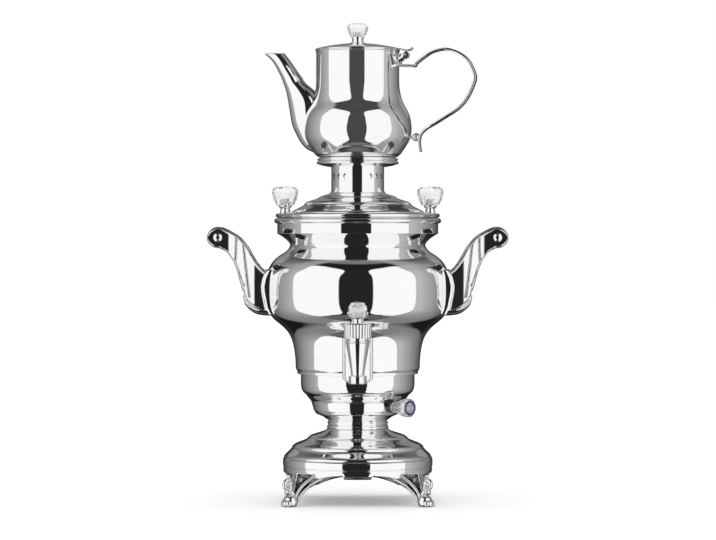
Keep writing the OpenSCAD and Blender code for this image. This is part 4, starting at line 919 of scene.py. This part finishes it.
# solids that keep their own shape, by the material they get
finish = {"chromeCast": "handle_ball stand_collar",
          "drawnSteel": "tap_nut tap_plug base_plate leg_screws tie_rod tie_nuts tank_floor thermostat_housing "
                        "thermostat_shaft thermal_cutout lid_screws hinge_pin pot_lid_screw",
          "blackPlastic": "power_inlet thermostat_ring grip_left grip_right", "crystalClear": "thermostat_knob",
          "violetRing": "thermostat_band", "blackRubber": "tap_gasket",
          "turnedBrass": "inlet_pins element_nuts", "dullSheath": "heating_element"}
materials = {m.name: m for m in bpy.data.materials}
for name, nodes in finish.items():
    for node in nodes.split():
        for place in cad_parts[node].material_slots:
            place.material = materials[name]
print("carried parts finished")


# studio: a pale floor, white all round, and a tent with two lit windows that only reflections see; directions
# are degrees from the vessel, azimuth 0 towards the camera. A window has the azimuth of its middle and half its
# width, then its middle's elevation and half its height; sides go by azimuth, above and below by elevation
studio = {"floor": 9000.0, "tent": 4200.0, "tentZ": 250.0,
          "left": (-55.5, 32.0, -2.8, 51.8), "right": (48.0, 29.0, -2.8, 51.8),
          "sides": [(0, 0.5), (84, 0.5), (100, 0.38), (120, 0.26), (140, 0.15), (155, 0.07), (168, 0.02), (180, 0.02)],
          "above": [(47, 0.014), (61, 0.014), (70, 0.2), (82, 0.2), (90, 0.08)],
          "below": [(-90, 0.008), (-81, 0.012), (-74, 0.11), (-55, 0.13)],
          "slot": 0.018, "middleAt": -3.0, "strip": 0.2, "ownLight": 0.24, "mirrorShare": 0.09}


def seenDirectly(tree, new):
    # 1 for rays from the camera, from mirrors and through clear parts, else 0
    path, one, two = new("ShaderNodeLightPath"), new("ShaderNodeMath"), new("ShaderNodeMath")
    one.operation = two.operation = "MAXIMUM"
    tree.links.new(path.outputs["Is Camera Ray"], one.inputs[0])
    tree.links.new(path.outputs["Is Glossy Ray"], one.inputs[1])
    tree.links.new(one.outputs[0], two.inputs[0])
    tree.links.new(path.outputs["Is Transmission Ray"], two.inputs[1])
    return two.outputs[0]


def makeWorld():
    # white where it is seen directly; an even soft light for everything else
    world = bpy.data.worlds.new("studioWorld")
    bpy.context.scene.world = world
    world.use_nodes = True
    tree = world.node_tree
    tree.nodes.clear()
    new = tree.nodes.new
    out, pick = new("ShaderNodeOutputWorld"), new("ShaderNodeMixShader")
    back, light = new("ShaderNodeBackground"), new("ShaderNodeBackground")
    for node in (back, light):
        node.inputs["Color"].default_value = (1, 1, 1, 1)
        node.inputs["Strength"].default_value = 1.0
    tree.links.new(seenDirectly(tree, new), pick.inputs[0])
    tree.links.new(light.outputs[0], pick.inputs[1])
    tree.links.new(back.outputs[0], pick.inputs[2])
    tree.links.new(pick.outputs[0], out.inputs["Surface"])


def windowShare(az, el, w):
    # 1 inside and 0 outside an oblong with a soft edge: a superellipse of the fourth power, whose inner side
    # leans towards the middle as it goes up and, less, as it goes down
    at, wide, up, tall = w
    lean = np.where(el > 0, 0.62 * np.clip(el / 48, 0, 1) ** 2.2, 0.3 * np.clip(-el / 55, 0, 1) ** 2.2)
    inner = (abs(at) - wide) * lean
    half, centre = wide + inner / 2, at - np.sign(at) * inner / 2
    q = (np.abs((az - centre) / half) ** 4 + np.abs((el - up) / tall) ** 4) ** 0.25
    return np.clip((1.015 - q) / 0.03, 0, 1)


def tentTone(az, el):
    # the tent's grey by direction: dark between and above the windows, mid grey at the sides, darker behind and
    # below, with a grey strip low behind that the lids' crowns show
    off = np.abs(az - studio["middleAt"])
    front = np.clip((78 - off) / 12, 0, 1)
    level = np.where(off < 48, studio["slot"], 0.4)
    above, below = np.interp(el, *zip(*studio["above"])), np.interp(el, *zip(*studio["below"]))
    middle = np.where(el > 48, above, np.where(el < -57, below, level))
    sides = np.interp(np.abs(az), *zip(*studio["sides"]))
    back, far = np.clip((np.abs(az) - 100) / 25, 0, 1), np.clip((np.abs(az) - 138) / 8, 0, 1)
    high, low = np.clip((el - 30) / 25, 0, 1), np.clip((17 * far - el - 25) / (35 - 17 * far), 0, 1)
    outer = (sides * (1 - high) + (0.3 - 0.25 * back) * high) * (1 - low) + (0.22 - 0.21 * far) * low
    strip = studio["strip"] * far * np.clip((el - 9) / 5, 0, 1) * np.clip((34 - el) / 8, 0, 1)
    tone = middle * front + (outer + strip) * (1 - front)
    for w in (studio["left"], studio["right"]):
        share = windowShare(az, el, w)
        tone = tone * (1 - share) + share
    # and dark straight down
    return tone * np.clip((el + 92) / 8, 0.05, 1)


def makeTent(radius):
    # a globe of directions about the vessel's middle that keeps a grey at each of its points, glows on its own
    # and is seen in mirrors only
    az, el = np.meshgrid(np.linspace(-180, 180, 541), np.linspace(-89.9, 89.9, 361))
    a, e = np.radians(az), np.radians(el)
    grid = np.stack([np.cos(e) * np.sin(a), -np.cos(e) * np.cos(a), np.sin(e)], -1) * radius
    obj = surface("tent", grid + (0, axisY, studio["tentZ"]), closedU=False)
    layer = obj.data.color_attributes.new("grey", "FLOAT_COLOR", "POINT")
    layer.data.foreach_set("color", np.repeat(tentTone(az, el).reshape(-1, 1), 4, 1).astype(np.float32).ravel())
    mat, tree, shader = newMaterial("tent")
    tree.nodes.remove(shader)
    out = tree.nodes["Material Output"]
    glow, tone = tree.nodes.new("ShaderNodeEmission"), tree.nodes.new("ShaderNodeVertexColor")
    tone.layer_name = "grey"
    tree.links.new(tone.outputs["Color"], glow.inputs["Color"])
    tree.links.new(glow.outputs[0], out.inputs["Surface"])
    obj.data.materials.append(mat)
    obj.visible_camera = obj.visible_diffuse = obj.visible_shadow = obj.visible_transmission = False


def floorFinish():
    # matt white with a little light of its own, so that it meets the white behind it without a line and keeps
    # the shadow, and a trace of mirror
    mat, tree, shader = newMaterial("paleFloor")
    tree.nodes.remove(shader)
    out = tree.nodes["Material Output"]
    new = tree.nodes.new
    matt, own, both = new("ShaderNodeBsdfDiffuse"), new("ShaderNodeEmission"), new("ShaderNodeAddShader")
    mirror, seen, glow = new("ShaderNodeBsdfGlossy"), new("ShaderNodeMixShader"), new("ShaderNodeMath")
    glow.operation = "MULTIPLY"
    glow.inputs[1].default_value = studio["ownLight"]
    tree.links.new(seenDirectly(tree, new), glow.inputs[0])
    tree.links.new(glow.outputs[0], own.inputs["Strength"])
    cloud = noise(tree, objectPoint(tree), 4.0)
    tree.links.new(tint(tree, cloud, (0.945, 0.945, 0.945), (0.955, 0.955, 0.955)), matt.inputs["Color"])
    mirror.inputs["Roughness"].default_value = 0.05
    tree.links.new(matt.outputs[0], both.inputs[0])
    tree.links.new(own.outputs[0], both.inputs[1])
    seen.inputs[0].default_value = studio["mirrorShare"]
    tree.links.new(both.outputs[0], seen.inputs[1])
    tree.links.new(mirror.outputs[0], seen.inputs[2])
    tree.links.new(seen.outputs[0], out.inputs["Surface"])
    return mat


makeWorld()
u, v = np.meshgrid(*[np.linspace(-studio["floor"], studio["floor"], 3)] * 2)
floor = surface("studioFloor", np.stack([u, v, 0 * u], -1), closedU=False)
floor.data.materials.append(floorFinish())
floor.visible_glossy = False  # polished metal sees the tent's lower half instead
makeTent(studio["tent"])
print("studio set")
